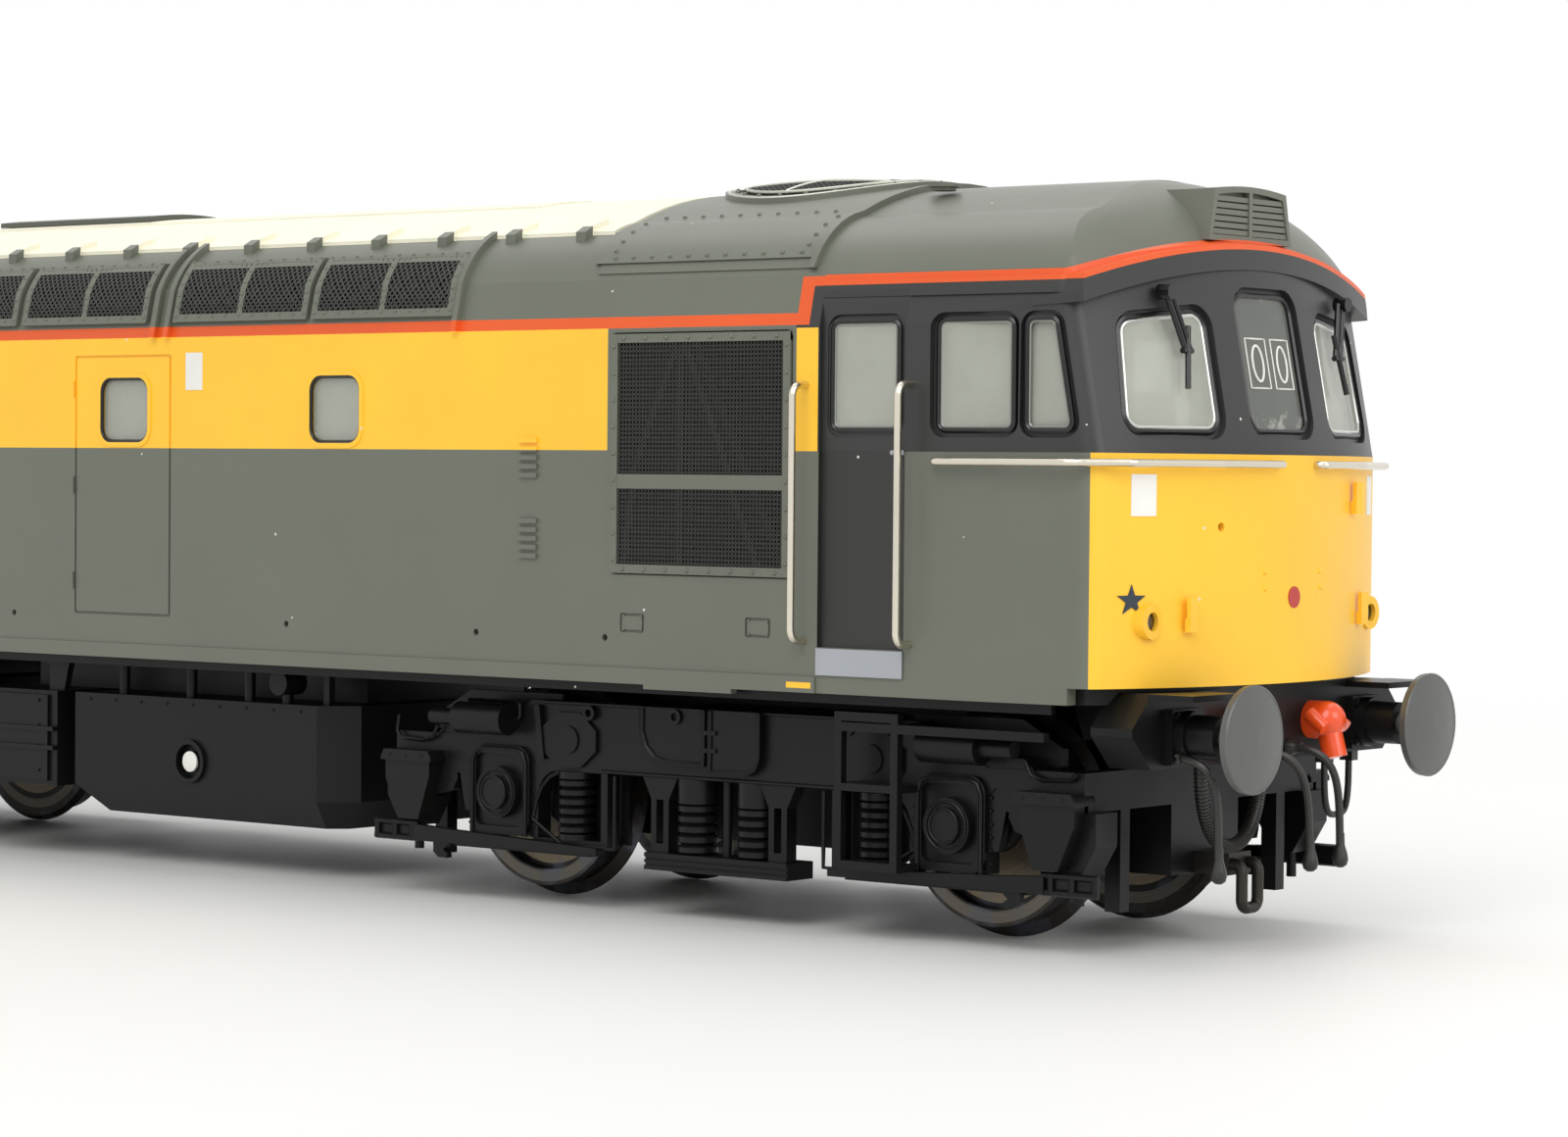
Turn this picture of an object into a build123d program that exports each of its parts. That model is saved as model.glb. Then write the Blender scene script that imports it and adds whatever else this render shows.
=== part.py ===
"""Scale model of a double-ended diesel locomotive on two four-wheel bogies.

Millimetres. +X is along the locomotive towards its front cab, +Y to its left, +Z up. The origin is below
the middle of the body, on the surface that the wheel flanges stand on.
"""
import os
from math import cos, hypot, radians, sin, sqrt, tan

from build123d import *

os.makedirs("parts", exist_ok=True)

# Clearances and overrun
cut_overrun = 1.0           # how far a cutting solid runs past what it cuts
seat_gap = 0.1              # between pieces of one body that are clipped or glued together
shaft_gap = 0.06            # radial clearance of a turning shaft in its bore
engraving_width = 0.2       # grooves that mark doors and hatches
engraving_depth = 0.15

# Wheels and axles
flange_radius = 8.0
flange_depth = 0.85
flange_width = 0.75
tyre_width = 2.8
tyre_rim_depth = 1.2
back_to_back = 14.5
axle_radius = 1.0
wheel_hub_radius = 2.0
wheel_web_recess = 0.8
bogie_wheelbase = 40.4
bogie_centres = 116.0

# Body shell, its heights stacked upwards from the sill
sill_z = 16.6
sill_bead_height = 1.1
sill_bead_depth = 0.15
side_height = 24.7
eaves_rise = 3.5
shoulder_rise = 2.35
crown_foot_rise = 1.8
crown_rise = 2.55
body_half_width = 18.4
eaves_inset = 0.8
shoulder_inset = 2.5
crown_inset = 6.2
eaves_normal = 22.0         # degrees that the skin faces upwards there
shoulder_normal = 46.0
crown_foot_normal = 66.0
shell_wall = 1.0
body_seam_x = 69.5
window_corner_radius = 1.1
window_rim_width = 0.35
window_rim_rise = 0.1
louvre_length = 1.7
louvre_pitch = 0.62
louvre_bar = 0.34
louvre_rise = 0.22
drain_hole_radius = 0.24
hinge_width = 0.42
hinge_height = 1.3
hatch_length = 2.2
hatch_height = 1.35
jacking_pad_depth = 0.32

# Roof
roof_panel_rise = 0.22
roof_centre_half_width = 6.5
roof_centre_rise = 0.12
hatch_panel_rise = 0.24
hatch_lip_height = 0.75
hatch_lip_rise = 0.1
edge_bead_width = 0.55
edge_bead_rise = 0.42
drain_strip_width = 0.5
drain_strip_rise = 0.5
roof_clip_pitch = 6.75
roof_clip_count = 17
roof_clip_length = 0.9
roof_clip_width = 1.7
roof_clip_rise = 0.6
fan_setback = 11.5          # body seam back to the middle of the fan
fan_ring_radius = 9.0
fan_ring_wall = 0.75
fan_ring_rise = 0.6
fan_grille_pitch = 1.25
fan_grille_bar = 0.3
fan_spoke_width = 0.42
fan_spoke_count = 12
fan_hub_radius = 1.2
grille_thickness = 0.38
grille_frame_width = 0.6
cantrail_mesh_pitch = 1.7
cantrail_mesh_bar = 0.26
cantrail_mesh_angle = 45.0  # degrees
roof_grille_half_width = 5.0
roof_grille_slat = 0.5
roof_grille_pitch = 1.1
roof_vent_setback = 2.5     # body seam forward to the small vent on the cab's roof
roof_vent_offset = 7.7
roof_vent_radius = 1.15
roof_vent_height = 0.5

# Radiator grilles in the body sides
radiator_frame_width = 0.72
radiator_rail_height = 1.0
radiator_slat_pitch = 0.78
radiator_slat_height = 0.3
radiator_strut_width = 0.75

# Cab shell
cab_length = 26.2           # seam to the middle of the nose
nose_bow_radius = 37.9
nose_corner_inset = 0.5
nose_corner_radius = 1.6
screen_bow_radius = 43.0
screen_lean = 10.9          # degrees
waist_ledge = 0.55
brow_drop = 2.6             # middle of the brow down to its ends
brow_bow = 2.2              # middle of the brow back to its ends
brow_height = 5.6           # cantrail up to the middle of the brow
brow_setback = 3.1          # middle of the nose back to the middle of the brow
brow_band_height = 1.7
brow_band_overhang = 0.25
side_band_height = 1.15
side_band_rise = 0.18
dome_length = 7.1
dome_foot_setback = 1.1
dome_foot_rise = 0.35
door_recess = 0.35
door_head_rise = 2.5        # cantrail up to the cab door's head
window_surround_width = 0.5
window_surround_depth = 0.42
glass_inset = 0.36
glass_thickness = 0.5
headcode_inset = 0.5
horn_box_length = 6.9
horn_box_top_half = 4.48
horn_box_foot_half = 5.2
horn_box_front_setback = 3.8
horn_box_height = 3.45
horn_box_arch = 0.3
horn_rim = 0.4
horn_slat_count = 6
horn_slat_thickness = 0.34
horn_slat_depth = 0.45
lamp_bezel_radius = 1.15
lamp_hole_radius = 0.62
lamp_bezel_reach = 0.4
iron_hole_radius = 0.3

# Floor, headstocks and buffers
floor_thickness = 1.5
pivot_radius = 3.0
chassis_block_height = 20.0
chassis_block_half_width = 9.0
headstock_depth = 4.9
headstock_thickness = 3.2
headstock_half_width = 17.0
headstock_chamfer = 2.2
headstock_setback = 1.7     # middle of the nose back to the headstock's face
buffer_spacing = 22.8
buffer_height = 14.55
buffer_head_radius = 3.5
buffer_head_thickness = 0.8
buffer_dome = 0.35
buffer_reach = 4.3          # middle of the nose forward to the buffer faces
buffer_housing_radius = 1.45
buffer_collar_radius = 1.7
buffer_collar_width = 0.7
buffer_housing_length = 3.4
buffer_ram_radius = 0.75
buffer_flange_width = 3.6
buffer_flange_thickness = 0.6
buffer_step_thickness = 0.4
buffer_step_width = 5.6

# Tank, boxes and pipes below the floor
bogie_swing_room = 6.1      # inner end of a bogie to the tank or the boxes
tank_top_drop = 3.2         # floor underside down to the tank's top
tank_depth = 9.5
tank_skirt = 2.2            # height of the slope round its bottom
tank_skirt_angle = 42.0     # degrees
tank_half_width = 14.5
tank_length = 29.4
tank_corner = 2.4
gauge_radius = 1.7
gauge_rim = 0.35
gauge_depth = 0.3
gauge_face_radius = 0.8
battery_box_depth = 7.6
battery_gap = 1.8
battery_rib_height = 0.35
battery_door_rise = 0.25
pipe_radius = 0.5
drop_pipe_radius = 0.42
valve_radius = 0.95
valve_length = 1.1
bracket_thickness = 0.6
bracket_width = 1.7

# Bogies, all measured from the bogie's middle
bogie_side_thickness = 1.4
bogie_side_face_y = 14.6
bogie_side_top = 14.8
bogie_side_foot = 9.85
horn_guide_half_width = 2.9
horn_guide_foot = 4.9
horn_guide_top = 11.4
horn_guide_frame = 0.6
horn_guide_rise = 0.35
horn_guide_corner = 1.2
tie_bar_height = 0.5
wheel_room = 1.4            # flange to the end beam
spring_place = 13.6
spring_radius = 1.3
spring_foot = 5.3
spring_height = 4.0
spring_wire = 0.55
spring_pitch_ratio = 1.25   # rise of each turn to the wire's thickness
spring_seat_height = 0.5
spring_cage_half_width = 2.9
spring_cage_foot = 4.3
spring_cage_corner = 1.9
bolster_spring_place = 2.7
bolster_spring_radius = 1.43
bolster_spring_foot = 4.5
bolster_spring_height = 3.6
bolster_spring_inset = 1.2  # side frame's face to the middle of the spring
hanger_place = 5.3
hanger_width = 1.6
hanger_slot = 0.65
hanger_flare = 0.8
hanger_thickness = 1.1
spring_plank_half_length = 6.4
spring_plank_depth = 1.2
spring_plank_half_width = 1.5
damper_radius = 0.36
axlebox_radius = 1.88
axlebox_reach = 0.75
axlebox_cap_radius = 1.25
axlebox_cap_reach = 0.25
octagon_half_length = 2.6
octagon_half_height = 1.95
octagon_rise = 0.3
octagon_boss_radius = 1.0
side_boss_radius = 0.55
side_boss_reach = 0.45
casting_rise = 0.5
casting_corner = 2.2
bolster_half_length = 8.0
centre_beam_half_width = 4.2
centre_beam_top = 13.4
centre_beam_foot = 4.6
bolster_top = 14.6
end_beam_thickness = 1.2
end_beam_depth = 2.6
guard_place = 9.8
guard_width = 1.1
guard_foot = 2.6
brake_cylinder_radius = 1.15
brake_cylinder_length = 4.8
brake_rod_radius = 0.62
brake_rod_length = 2.6
brake_shoe_gap = 0.5
brake_shoe_depth = 1.2
brake_shoe_height = 3.8
brake_shoe_width = 1.3
sandbox_length = 4.2
sandbox_depth = 4.4
sandbox_taper = 1.3
sandbox_width = 2.5
sand_pipe_radius = 0.35
step_face_y = 17.5
step_frame_width = 5.3
step_frame_place = 15.1
step_frame_top = 15.4
step_bar = 0.6
step_foot = 4.8
step_tread_thickness = 0.5
coupling_reach = 34.4
coupling_width = 2.8
coupling_wire = 0.4
coupling_bar_height = 1.5
coupling_drop = 2.6

# Fittings on the body
rail_radius = 0.26
rail_stand_off = 1.5
nose_rail_stand_off = 0.8
nose_rail_bend = 2.1
hose_radius = 0.4
hose_end_radius = 0.6
hose_end_length = 1.0
hose_reach = 3.2
hose_foot = 4.7
hose_bend = 2.0
jumper_radius = 0.62
jumper_sag = 5.6
cable_radius = 0.3
cable_sag = 4.4
socket_radius = 1.3
socket_nozzle_radius = 0.85
socket_nozzle_length = 2.5
socket_lug_radius = 0.5
lamp_iron_width = 0.9
lamp_iron_thickness = 0.3
lamp_iron_height = 2.2
lamp_iron_foot = 0.9
lamp_iron_reach = 0.75
wiper_radius = 0.2
wiper_boss_radius = 0.5
wiper_bar_reach = (0.78, 0.36)  # beyond its two arms
handle_length = 0.9
handle_radius = 0.18
kick_plate_thickness = 0.12

# Heights and places that follow from them
axle_z = flange_radius
tread_radius = flange_radius - flange_depth
wheel_inner_y = back_to_back / 2
wheel_outer_y = wheel_inner_y + tyre_width
half_wheelbase = bogie_wheelbase / 2
bogie_x = bogie_centres / 2
end_beam_place = half_wheelbase + flange_radius + wheel_room
bogie_inner_x = bogie_x - end_beam_place - end_beam_thickness
cantrail_z = sill_z + side_height
eaves_z = cantrail_z + eaves_rise
shoulder_z = eaves_z + shoulder_rise
crown_foot_z = shoulder_z + crown_foot_rise
roof_top_z = crown_foot_z + crown_rise
crown_half = body_half_width - crown_inset
crown_radius = (crown_half ** 2 + crown_rise ** 2) / (2 * crown_rise)
nose_x = body_seam_x + cab_length
nose_foot_z = sill_z + sill_bead_height
nose_corner_y = body_half_width - nose_corner_inset
waist_share = 0.658
waist_z = sill_z + waist_share * side_height
brow_x = nose_x - brow_setback
brow_z = cantrail_z + brow_height
floor_foot_z = sill_z
floor_top_z = floor_foot_z + floor_thickness
buffer_y = buffer_spacing / 2
headstock_x = nose_x - headstock_setback
headstock_top_z = nose_foot_z - seat_gap - buffer_step_thickness / 2
headstock_foot_z = headstock_top_z - headstock_depth
tank_front_x = bogie_inner_x - bogie_swing_room
tank_back_x = tank_front_x - tank_length
tank_top_z = floor_foot_z - tank_top_drop
fan_x = body_seam_x - fan_setback

# Places along the body side, as shares of the half length of the middle shell, and heights on it as shares
# of the side's height
radiator_x_shares = (0.7367, 0.9691)
radiator_z_shares = (0.308, 0.990)
radiator_rail_share = 0.570
# Columns: foot along the side, foot's height on it, head along the side
radiator_struts = ((0.7568, 0.57, 0.8216), (0.8273, 0.33, 0.8273), (0.9525, 0.33, 0.8338))
cantrail_grille_shares = (-0.4755, -0.2615, -0.0453, 0.2036, 0.4173)
cantrail_grille_length_share = 0.2058
cantrail_grille_z_shares = (0.34,
                            1.0)     # of the rise from cantrail to eaves, and from there to the shoulder
drain_strip_shares = (0.0713, 0.0928, 0.5252)
body_window_x_shares = ((-0.698, -0.624), (-0.386, -0.312), (-0.0165, 0.0604), (0.3122, 0.3863))
body_window_z_shares = (0.676, 0.8785)
body_door_x_shares = (-0.059, 0.0971)
body_door_z_shares = (0.1336, 0.9494)
body_hinge_z_shares = (0.2389, 0.5405, 0.844)
drain_hole_x_shares = (-0.7, -0.45, -0.161, 0.278, 0.555, 0.731)
drain_hole_z_share = 0.1275
louvre_x_share = 0.6273
louvre_z_shares = (0.4038, 0.6356)
hatch_x_shares = (0.7669, 0.9281)
hatch_z_share = 0.172
jacking_pad_shares = (0.784, 0.8964)
cream_panel_share = 0.78                   # of the half width
cream_panel_end_share = 0.6906
roof_centre_shares = (-0.62, 0.49)
hatch_panel_shares = (0.6993, 0.9799)
hatch_panel_z_share = 0.5                  # of the rise from eaves to shoulder
roof_grille_shares = (-0.41, -0.144)
roof_clip_end_share = 0.6547


def side_x(share):
    """Place along the middle body shell."""
    return share * body_seam_x


def side_z(share):
    """Height on the body side between sill and cantrail."""
    return sill_z + share * side_height


def cab_x(share):
    """Place along the front cab, from its seam to the middle of its nose."""
    return body_seam_x + share * cab_length


def across(share):
    """Place across the body, as a share of its half width."""
    return share * body_half_width


def roof_z(y):
    """Height of the roof's crown at a distance from the middle."""
    return roof_top_z - crown_radius + sqrt(crown_radius ** 2 - y ** 2)


def block(x, y, z, mode=Mode.ADD):
    """Block between two places along each axis, in the part being built."""
    with Locations(((x[0] + x[1]) / 2, (y[0] + y[1]) / 2, (z[0] + z[1]) / 2)):
        Box(abs(x[1] - x[0]), abs(y[1] - y[0]), abs(z[1] - z[0]), mode=mode)


def rod(start, end, radius, mode=Mode.ADD):
    """Round bar between two points, in the part being built."""
    run = Vector(*end) - Vector(*start)
    with Locations(Plane(origin=start, z_dir=run)):
        Cylinder(radius, run.length, align=(Align.CENTER, Align.CENTER, Align.MIN), mode=mode)


def side_plate(outline, face_y, rise, holes=()):
    """Plate on a face that looks along +Y, standing proud by rise, from its outline along and up."""
    with BuildPart() as plate:
        with BuildSketch(Plane.XZ.offset(-face_y)):
            with BuildLine():
                Polyline(*outline, close=True)
            make_face()
            for hole in holes:
                with BuildLine():
                    Polyline(*hole, close=True)
                make_face(mode=Mode.SUBTRACT)
        extrude(amount=-rise)
    return plate.part


def bent_wire(points, radius, bends):
    """Round wire through points, its corners rounded to the bends' radii."""
    with BuildPart() as piece:
        with BuildLine() as path:
            FilletPolyline(*points, radius=bends)
        with BuildSketch(Plane(origin=points[0], z_dir=path.line % 0)):
            Circle(radius)
        sweep()
    return piece.part


def coil_spring(x, y, foot, radius, height, wire):
    """Moulded coil spring: a core with a round turn for each wire's thickness and a half."""
    turns = max(2, round(height / (wire * spring_pitch_ratio)))
    pitch = height / turns
    core = radius - wire / 2
    profile = [(0, 0), (core, 0)]
    for turn in range(turns):
        profile += [(radius, (turn + 1 / 4) * pitch), (radius, (turn + 3 / 4) * pitch),
                    (core, (turn + 1) * pitch)]
    profile += [(0, height)]
    with BuildPart() as spring:
        with BuildSketch(Plane(origin=(x, y, foot), x_dir=(1, 0, 0), z_dir=(0, -1, 0))):
            with BuildLine():
                Polyline(*profile, close=True)
            make_face()
        revolve(axis=Axis((x, y, foot), (0, 0, 1)))
    return spring.part


def both_sides(piece):
    """A piece and its mirror image across the locomotive's middle plane."""
    return [piece, mirror(piece, about=Plane.XZ)]


def ends(pieces):
    """The same pieces at both ends, the rear ones turned half round."""
    return [Rot(0, 0, turn) * piece for turn in (0, 180) for piece in pieces]


def write(name, piece):
    """Label a finished piece and write it to its own file."""
    piece.label = name
    export_step(piece, f"parts/{name}.step")


def shared(name, pieces):
    """Write like pieces that ride together as one node of separate solids."""
    write(name, Compound(children=pieces))


def body_section(plane, inset, foot_z):
    """Outline across body and roof, drawn in by inset along its own normals, closed at foot_z."""
    def inward(y, z, normal):
        return (y - inset * cos(radians(normal)), z - inset * sin(radians(normal)))

    half = body_half_width - inset
    eaves = inward(body_half_width - eaves_inset, eaves_z, eaves_normal)
    shoulder = inward(body_half_width - shoulder_inset, shoulder_z, shoulder_normal)
    crown_foot = inward(crown_half, crown_foot_z, crown_foot_normal)
    right = [(half, foot_z), (half, cantrail_z), eaves]
    with BuildSketch(plane) as section:
        with BuildLine():
            Polyline(*right)
            ThreePointArc(eaves, shoulder, crown_foot)
            ThreePointArc(crown_foot, (0, roof_top_z - inset), (-crown_foot[0], crown_foot[1]))
            ThreePointArc(*[(-y, z) for y, z in (crown_foot, shoulder, eaves)])
            Polyline(*[(-y, z) for y, z in reversed(right)])
            Line((-half, foot_z), (half, foot_z))
        make_face()
    return section.sketch


def on_skin(x, pattern, low, high):
    """Layer between two heights over the body's skin, cut to the shape of a pattern that runs through it."""
    with BuildPart() as layer:
        extrude(body_section(Plane.YZ.offset(x[0]), -high, sill_z), amount=x[1] - x[0])
        extrude(body_section(Plane.YZ.offset(x[0]), -low, sill_z), amount=x[1] - x[0], mode=Mode.SUBTRACT)
        add(pattern, mode=Mode.INTERSECT)
    return layer.part


def roof_layer(x, y, z, low, high):
    """Strip of skin between two heights over the body's surface, within places x, y and z."""
    with BuildPart() as bounds:
        block(x, y, z)
    return on_skin(x, bounds.part, low, high)


def plan_outline(plane, front_x, bow_radius, inset, back_x):
    """Plan of the cab: sides that draw in a little, rounded corners and a bowed front."""
    taper_x = cab_x(taper_start_share)
    bow_at_corner = bow_radius - sqrt(bow_radius ** 2 - nose_corner_y ** 2)
    corner = (front_x - bow_at_corner, nose_corner_y)
    left = [(back_x, body_half_width), (taper_x, body_half_width), corner]
    right = [(x, -y) for x, y in left]
    with BuildSketch(plane) as plan:
        with BuildLine():
            Polyline(*left)
            ThreePointArc(corner, (front_x, 0), right[2])
            Polyline(*reversed(right))
            Line(right[0], left[0])
        make_face()
        fillet(plan.vertices().group_by(Axis.X)[-1], nose_corner_radius)
        if inset:
            offset(amount=-inset, kind=Kind.INTERSECTION)
    return plan.sketch


# The brow runs round the cab on an arc in a plane that leans forward
taper_start_share = 0.48
screen_prism_share = 0.6                   # where the front windows' cutting bars start
dome_bulge_shares = (0.62, 0.66)           # middle point of the dome's profile, along and up its own box
brow_sag = hypot(brow_drop, brow_bow)
brow_radius = (nose_corner_y ** 2 + brow_sag ** 2) / (2 * brow_sag)
brow_centre = (brow_x - brow_radius * brow_bow / brow_sag, 0, brow_z - brow_radius * brow_drop / brow_sag)
brow_axis = Axis(brow_centre, (-brow_drop, 0, brow_bow))
dome_foot = (brow_x - dome_foot_setback, brow_z + dome_foot_rise)
dome_top = (brow_x - dome_length, roof_top_z - seat_gap / 2)
dome_middle = (dome_top[0] + dome_bulge_shares[0] * (dome_foot[0] - dome_top[0]),
               dome_foot[1] + dome_bulge_shares[1] * (dome_top[1] - dome_foot[1]))


def cab_form(inset, back_x, foot_z):
    """Solid form of the front cab from back_x forward, drawn in all round by inset."""
    lean = tan(radians(screen_lean))
    screen_height = roof_top_z - waist_z + cut_overrun
    high_z = roof_top_z + 2 * cut_overrun
    with BuildPart() as form:
        extrude(plan_outline(Plane.XY.offset(foot_z), nose_x, nose_bow_radius, inset,
                             back_x - cut_overrun - inset),
                amount=waist_z - inset - foot_z)
        screen_plan = plan_outline(Plane.XY.offset(waist_z - inset), nose_x - waist_ledge + lean * inset,
                                   screen_bow_radius, inset, back_x - cut_overrun)
        extrude(screen_plan, amount=hypot(screen_height, lean * screen_height), dir=(-lean, 0, 1))
        extrude(body_section(Plane.YZ.offset(back_x), inset, foot_z - cut_overrun),
                amount=nose_x - back_x + cut_overrun, mode=Mode.INTERSECT)
        with BuildSketch(Plane.XZ):
            with BuildLine():
                Polyline((nose_x + cut_overrun, high_z), (nose_x + cut_overrun, brow_z), (brow_x, brow_z),
                         dome_foot)
                ThreePointArc(dome_foot, dome_middle, dome_top)
                Polyline(dome_top, (dome_top[0], high_z), (nose_x + cut_overrun, high_z))
            make_face()
            if inset:
                offset(amount=inset, kind=Kind.INTERSECTION)
        revolve(axis=brow_axis, mode=Mode.SUBTRACT)
    return form.part


def screen_prism(corners, radius, grow):
    """Bar along the cab with the rounded outline of a front window, made larger by grow."""
    with BuildPart() as prism:
        with BuildSketch(Plane.YZ.offset(cab_x(screen_prism_share))):
            with BuildLine():
                Polyline(*corners, close=True)
            make_face()
            fillet(vertices(), radius)
            if grow:
                offset(amount=grow, kind=Kind.INTERSECTION)
        extrude(amount=cab_length)
    return prism.part


def side_prism(corners, radius, grow):
    """Bar across the locomotive with the rounded outline of a side window, made larger by grow."""
    with BuildPart() as prism:
        with BuildSketch(Plane.XZ):
            with BuildLine():
                Polyline(*corners, close=True)
            make_face()
            fillet(vertices(), radius)
            if grow:
                offset(amount=grow, kind=Kind.INTERSECTION)
        extrude(amount=body_half_width + cut_overrun, both=True)
    return prism.part


def box_corners(x, z):
    """Corners of an upright rectangle, from its places along and up."""
    return [(x[0], z[0]), (x[1], z[0]), (x[1], z[1]), (x[0], z[1])]


# Windows of the cab: shares along it, and heights shared with the front windows
door_x = (cab_x(0.004), cab_x(0.279))
door_z = (side_z(0.1255), cantrail_z + door_head_rise)
window_z_shares = (0.7166, 1.008)
door_window_shares = (0.041, 0.249)
side_window_shares = (0.374, 0.6)
quarter_light_shares = (0.642, 0.779, 0.727)       # its back, its front at the foot and its front at the head
window_z = [side_z(share) for share in window_z_shares]
door_window_corners = box_corners([cab_x(share) for share in door_window_shares], window_z)
side_window_corners = box_corners([cab_x(share) for share in side_window_shares], window_z)
light_back, light_foot, light_head = (cab_x(share) for share in quarter_light_shares)
quarter_light_corners = [(light_back, window_z[0]), (light_foot, window_z[0]), (light_head, window_z[1]),
                         (light_back, window_z[1])]

# Front windows: shares of the body's half width and of its side height
windscreen_shares = ((0.381, 0.7166), (0.8125, 0.7166), (0.7772, 1.008), (0.3777, 1.0405))
headcode_shares = ((-0.1946, 0.7206), (0.1946, 0.7206), (0.1902, 1.089), (-0.1902, 1.089))
windscreen_corners = [(across(y), side_z(z)) for y, z in windscreen_shares]
far_windscreen_corners = [(-y, z) for y, z in windscreen_corners]
headcode_corners = [(across(y), side_z(z)) for y, z in headcode_shares]


def cab_window_bars(grow):
    """Bars through all the glazed openings of the front cab, each made larger by grow."""
    with BuildPart() as bars:
        for corners in (windscreen_corners, far_windscreen_corners):
            add(screen_prism(corners, window_corner_radius, grow))
        for corners in (door_window_corners, side_window_corners, quarter_light_corners):
            add(side_prism(corners, window_corner_radius / 2, grow))
    return bars.part


def screen_x(y, z):
    """Place of the leaning windscreen surface."""
    lean = tan(radians(screen_lean))
    bow = screen_bow_radius - sqrt(screen_bow_radius ** 2 - y ** 2)
    return nose_x - waist_ledge - lean * (z - waist_z) - bow


def nose_surface_x(y):
    """Place of the upright nose below the waist."""
    return nose_x - nose_bow_radius + sqrt(nose_bow_radius ** 2 - y ** 2)


def nose_point(y, z, stand_off):
    """Point at a distance in front of the upright nose."""
    return (nose_surface_x(y) + stand_off, y, z)


# Raised pieces of the roof: cream panel with its edge clips, riveted hatch panel over the fan, drain strips
skin_root = -shell_wall / 2
roof_span_z = (eaves_z, roof_top_z + cut_overrun)
cream_half = across(cream_panel_share)
cream_end_x = side_x(cream_panel_end_share)
hatch_x = [side_x(share) for share in hatch_panel_shares]
hatch_foot_z = eaves_z + hatch_panel_z_share * shoulder_rise
with BuildPart() as roof_panels:
    add(roof_layer((-body_seam_x, cream_end_x), (-cream_half, cream_half), roof_span_z, skin_root,
                   roof_panel_rise))
    add(roof_layer([side_x(share) for share in roof_centre_shares],
                   (-roof_centre_half_width, roof_centre_half_width),
                   roof_span_z, skin_root, roof_panel_rise + roof_centre_rise))
    whole_width = (-body_half_width, body_half_width)
    add(roof_layer(hatch_x, whole_width, (hatch_foot_z, roof_span_z[1]), skin_root, hatch_panel_rise))
    add(roof_layer((hatch_x[0] + edge_bead_width, hatch_x[1]), whole_width,
                   (hatch_foot_z - hatch_lip_height, hatch_foot_z), skin_root, hatch_lip_rise))
    add(roof_layer((hatch_x[1], hatch_x[1] + edge_bead_width), whole_width,
                   (hatch_foot_z - hatch_lip_height, roof_span_z[1]), skin_root, edge_bead_rise))

with BuildPart() as strip_bounds:
    for share in drain_strip_shares:
        strip_x = side_x(share)
        for side in (-1, 1):
            block((strip_x - drain_strip_width / 2, strip_x + drain_strip_width / 2),
                  (side * cream_half, side * (body_half_width + drain_strip_rise)),
                  (cantrail_z, roof_top_z))
drain_strips = on_skin((-body_seam_x, body_seam_x), strip_bounds.part, skin_root, drain_strip_rise)

with BuildPart() as clip_bounds:
    for count in range(roof_clip_count):
        clip_x = side_x(roof_clip_end_share) - count * roof_clip_pitch
        for side in (-1, 1):
            block((clip_x - roof_clip_length / 2, clip_x + roof_clip_length / 2),
                  (side * (cream_half - roof_clip_width), side * (cream_half + roof_clip_width / 2)),
                  roof_span_z)
roof_clips = on_skin((-body_seam_x, body_seam_x), clip_bounds.part, skin_root, roof_clip_rise)

# Middle body shell: sides and roof, open below, with its windows and grille openings
radiator_x = [side_x(share) for share in radiator_x_shares]
radiator_z = [side_z(share) for share in radiator_z_shares]
radiator_corners = box_corners(radiator_x, radiator_z)
body_window_z = [side_z(share) for share in body_window_z_shares]
body_windows = [box_corners((side_x(start), side_x(end)), body_window_z) for start,
                end in body_window_x_shares]
body_door_x = [side_x(share) for share in body_door_x_shares]
body_door_z = [side_z(share) for share in body_door_z_shares]

with BuildPart() as side_grooves:
    for corners in [box_corners(body_door_x, body_door_z)] + [
            box_corners((side_x(share) - hatch_length / 2, side_x(share) + hatch_length / 2),
                        (side_z(hatch_z_share) - hatch_height / 2, side_z(hatch_z_share) + hatch_height / 2))
            for share in hatch_x_shares]:
        add(side_prism(corners, engraving_width, 0))
        add(side_prism(corners, engraving_width, -engraving_width), mode=Mode.SUBTRACT)
    groove_foot_y = body_half_width - engraving_depth
    block((-body_seam_x, body_seam_x), (-groove_foot_y, groove_foot_y), (sill_z, cantrail_z), Mode.SUBTRACT)

with BuildPart() as side_fittings:
    for side in (-1, 1):
        wall_y = side * (body_half_width - shell_wall / 2)
        block((-body_seam_x, body_seam_x), (wall_y, side * (body_half_width + sill_bead_depth)),
              (sill_z, sill_z + sill_bead_height))
        for pad_side in (-1, 1):
            block([pad_side * side_x(share) for share in jacking_pad_shares],
                  (wall_y, side * (body_half_width + sill_bead_depth)),
                  (sill_z - jacking_pad_depth, sill_z + jacking_pad_depth))
        for share in louvre_z_shares:
            for count in range(-2, 3):
                louvre_z = side_z(share) + count * louvre_pitch
                block((side_x(louvre_x_share) - louvre_length / 2,
                       side_x(louvre_x_share) + louvre_length / 2),
                      (wall_y, side * (body_half_width + louvre_rise)),
                      (louvre_z - louvre_bar / 2, louvre_z + louvre_bar / 2))
        for share in body_hinge_z_shares:
            hinge_foot = side_z(share) - hinge_height / 2
            rod((body_door_x[0], side * body_half_width, hinge_foot),
                (body_door_x[0], side * body_half_width, hinge_foot + hinge_height), hinge_width / 2)

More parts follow.
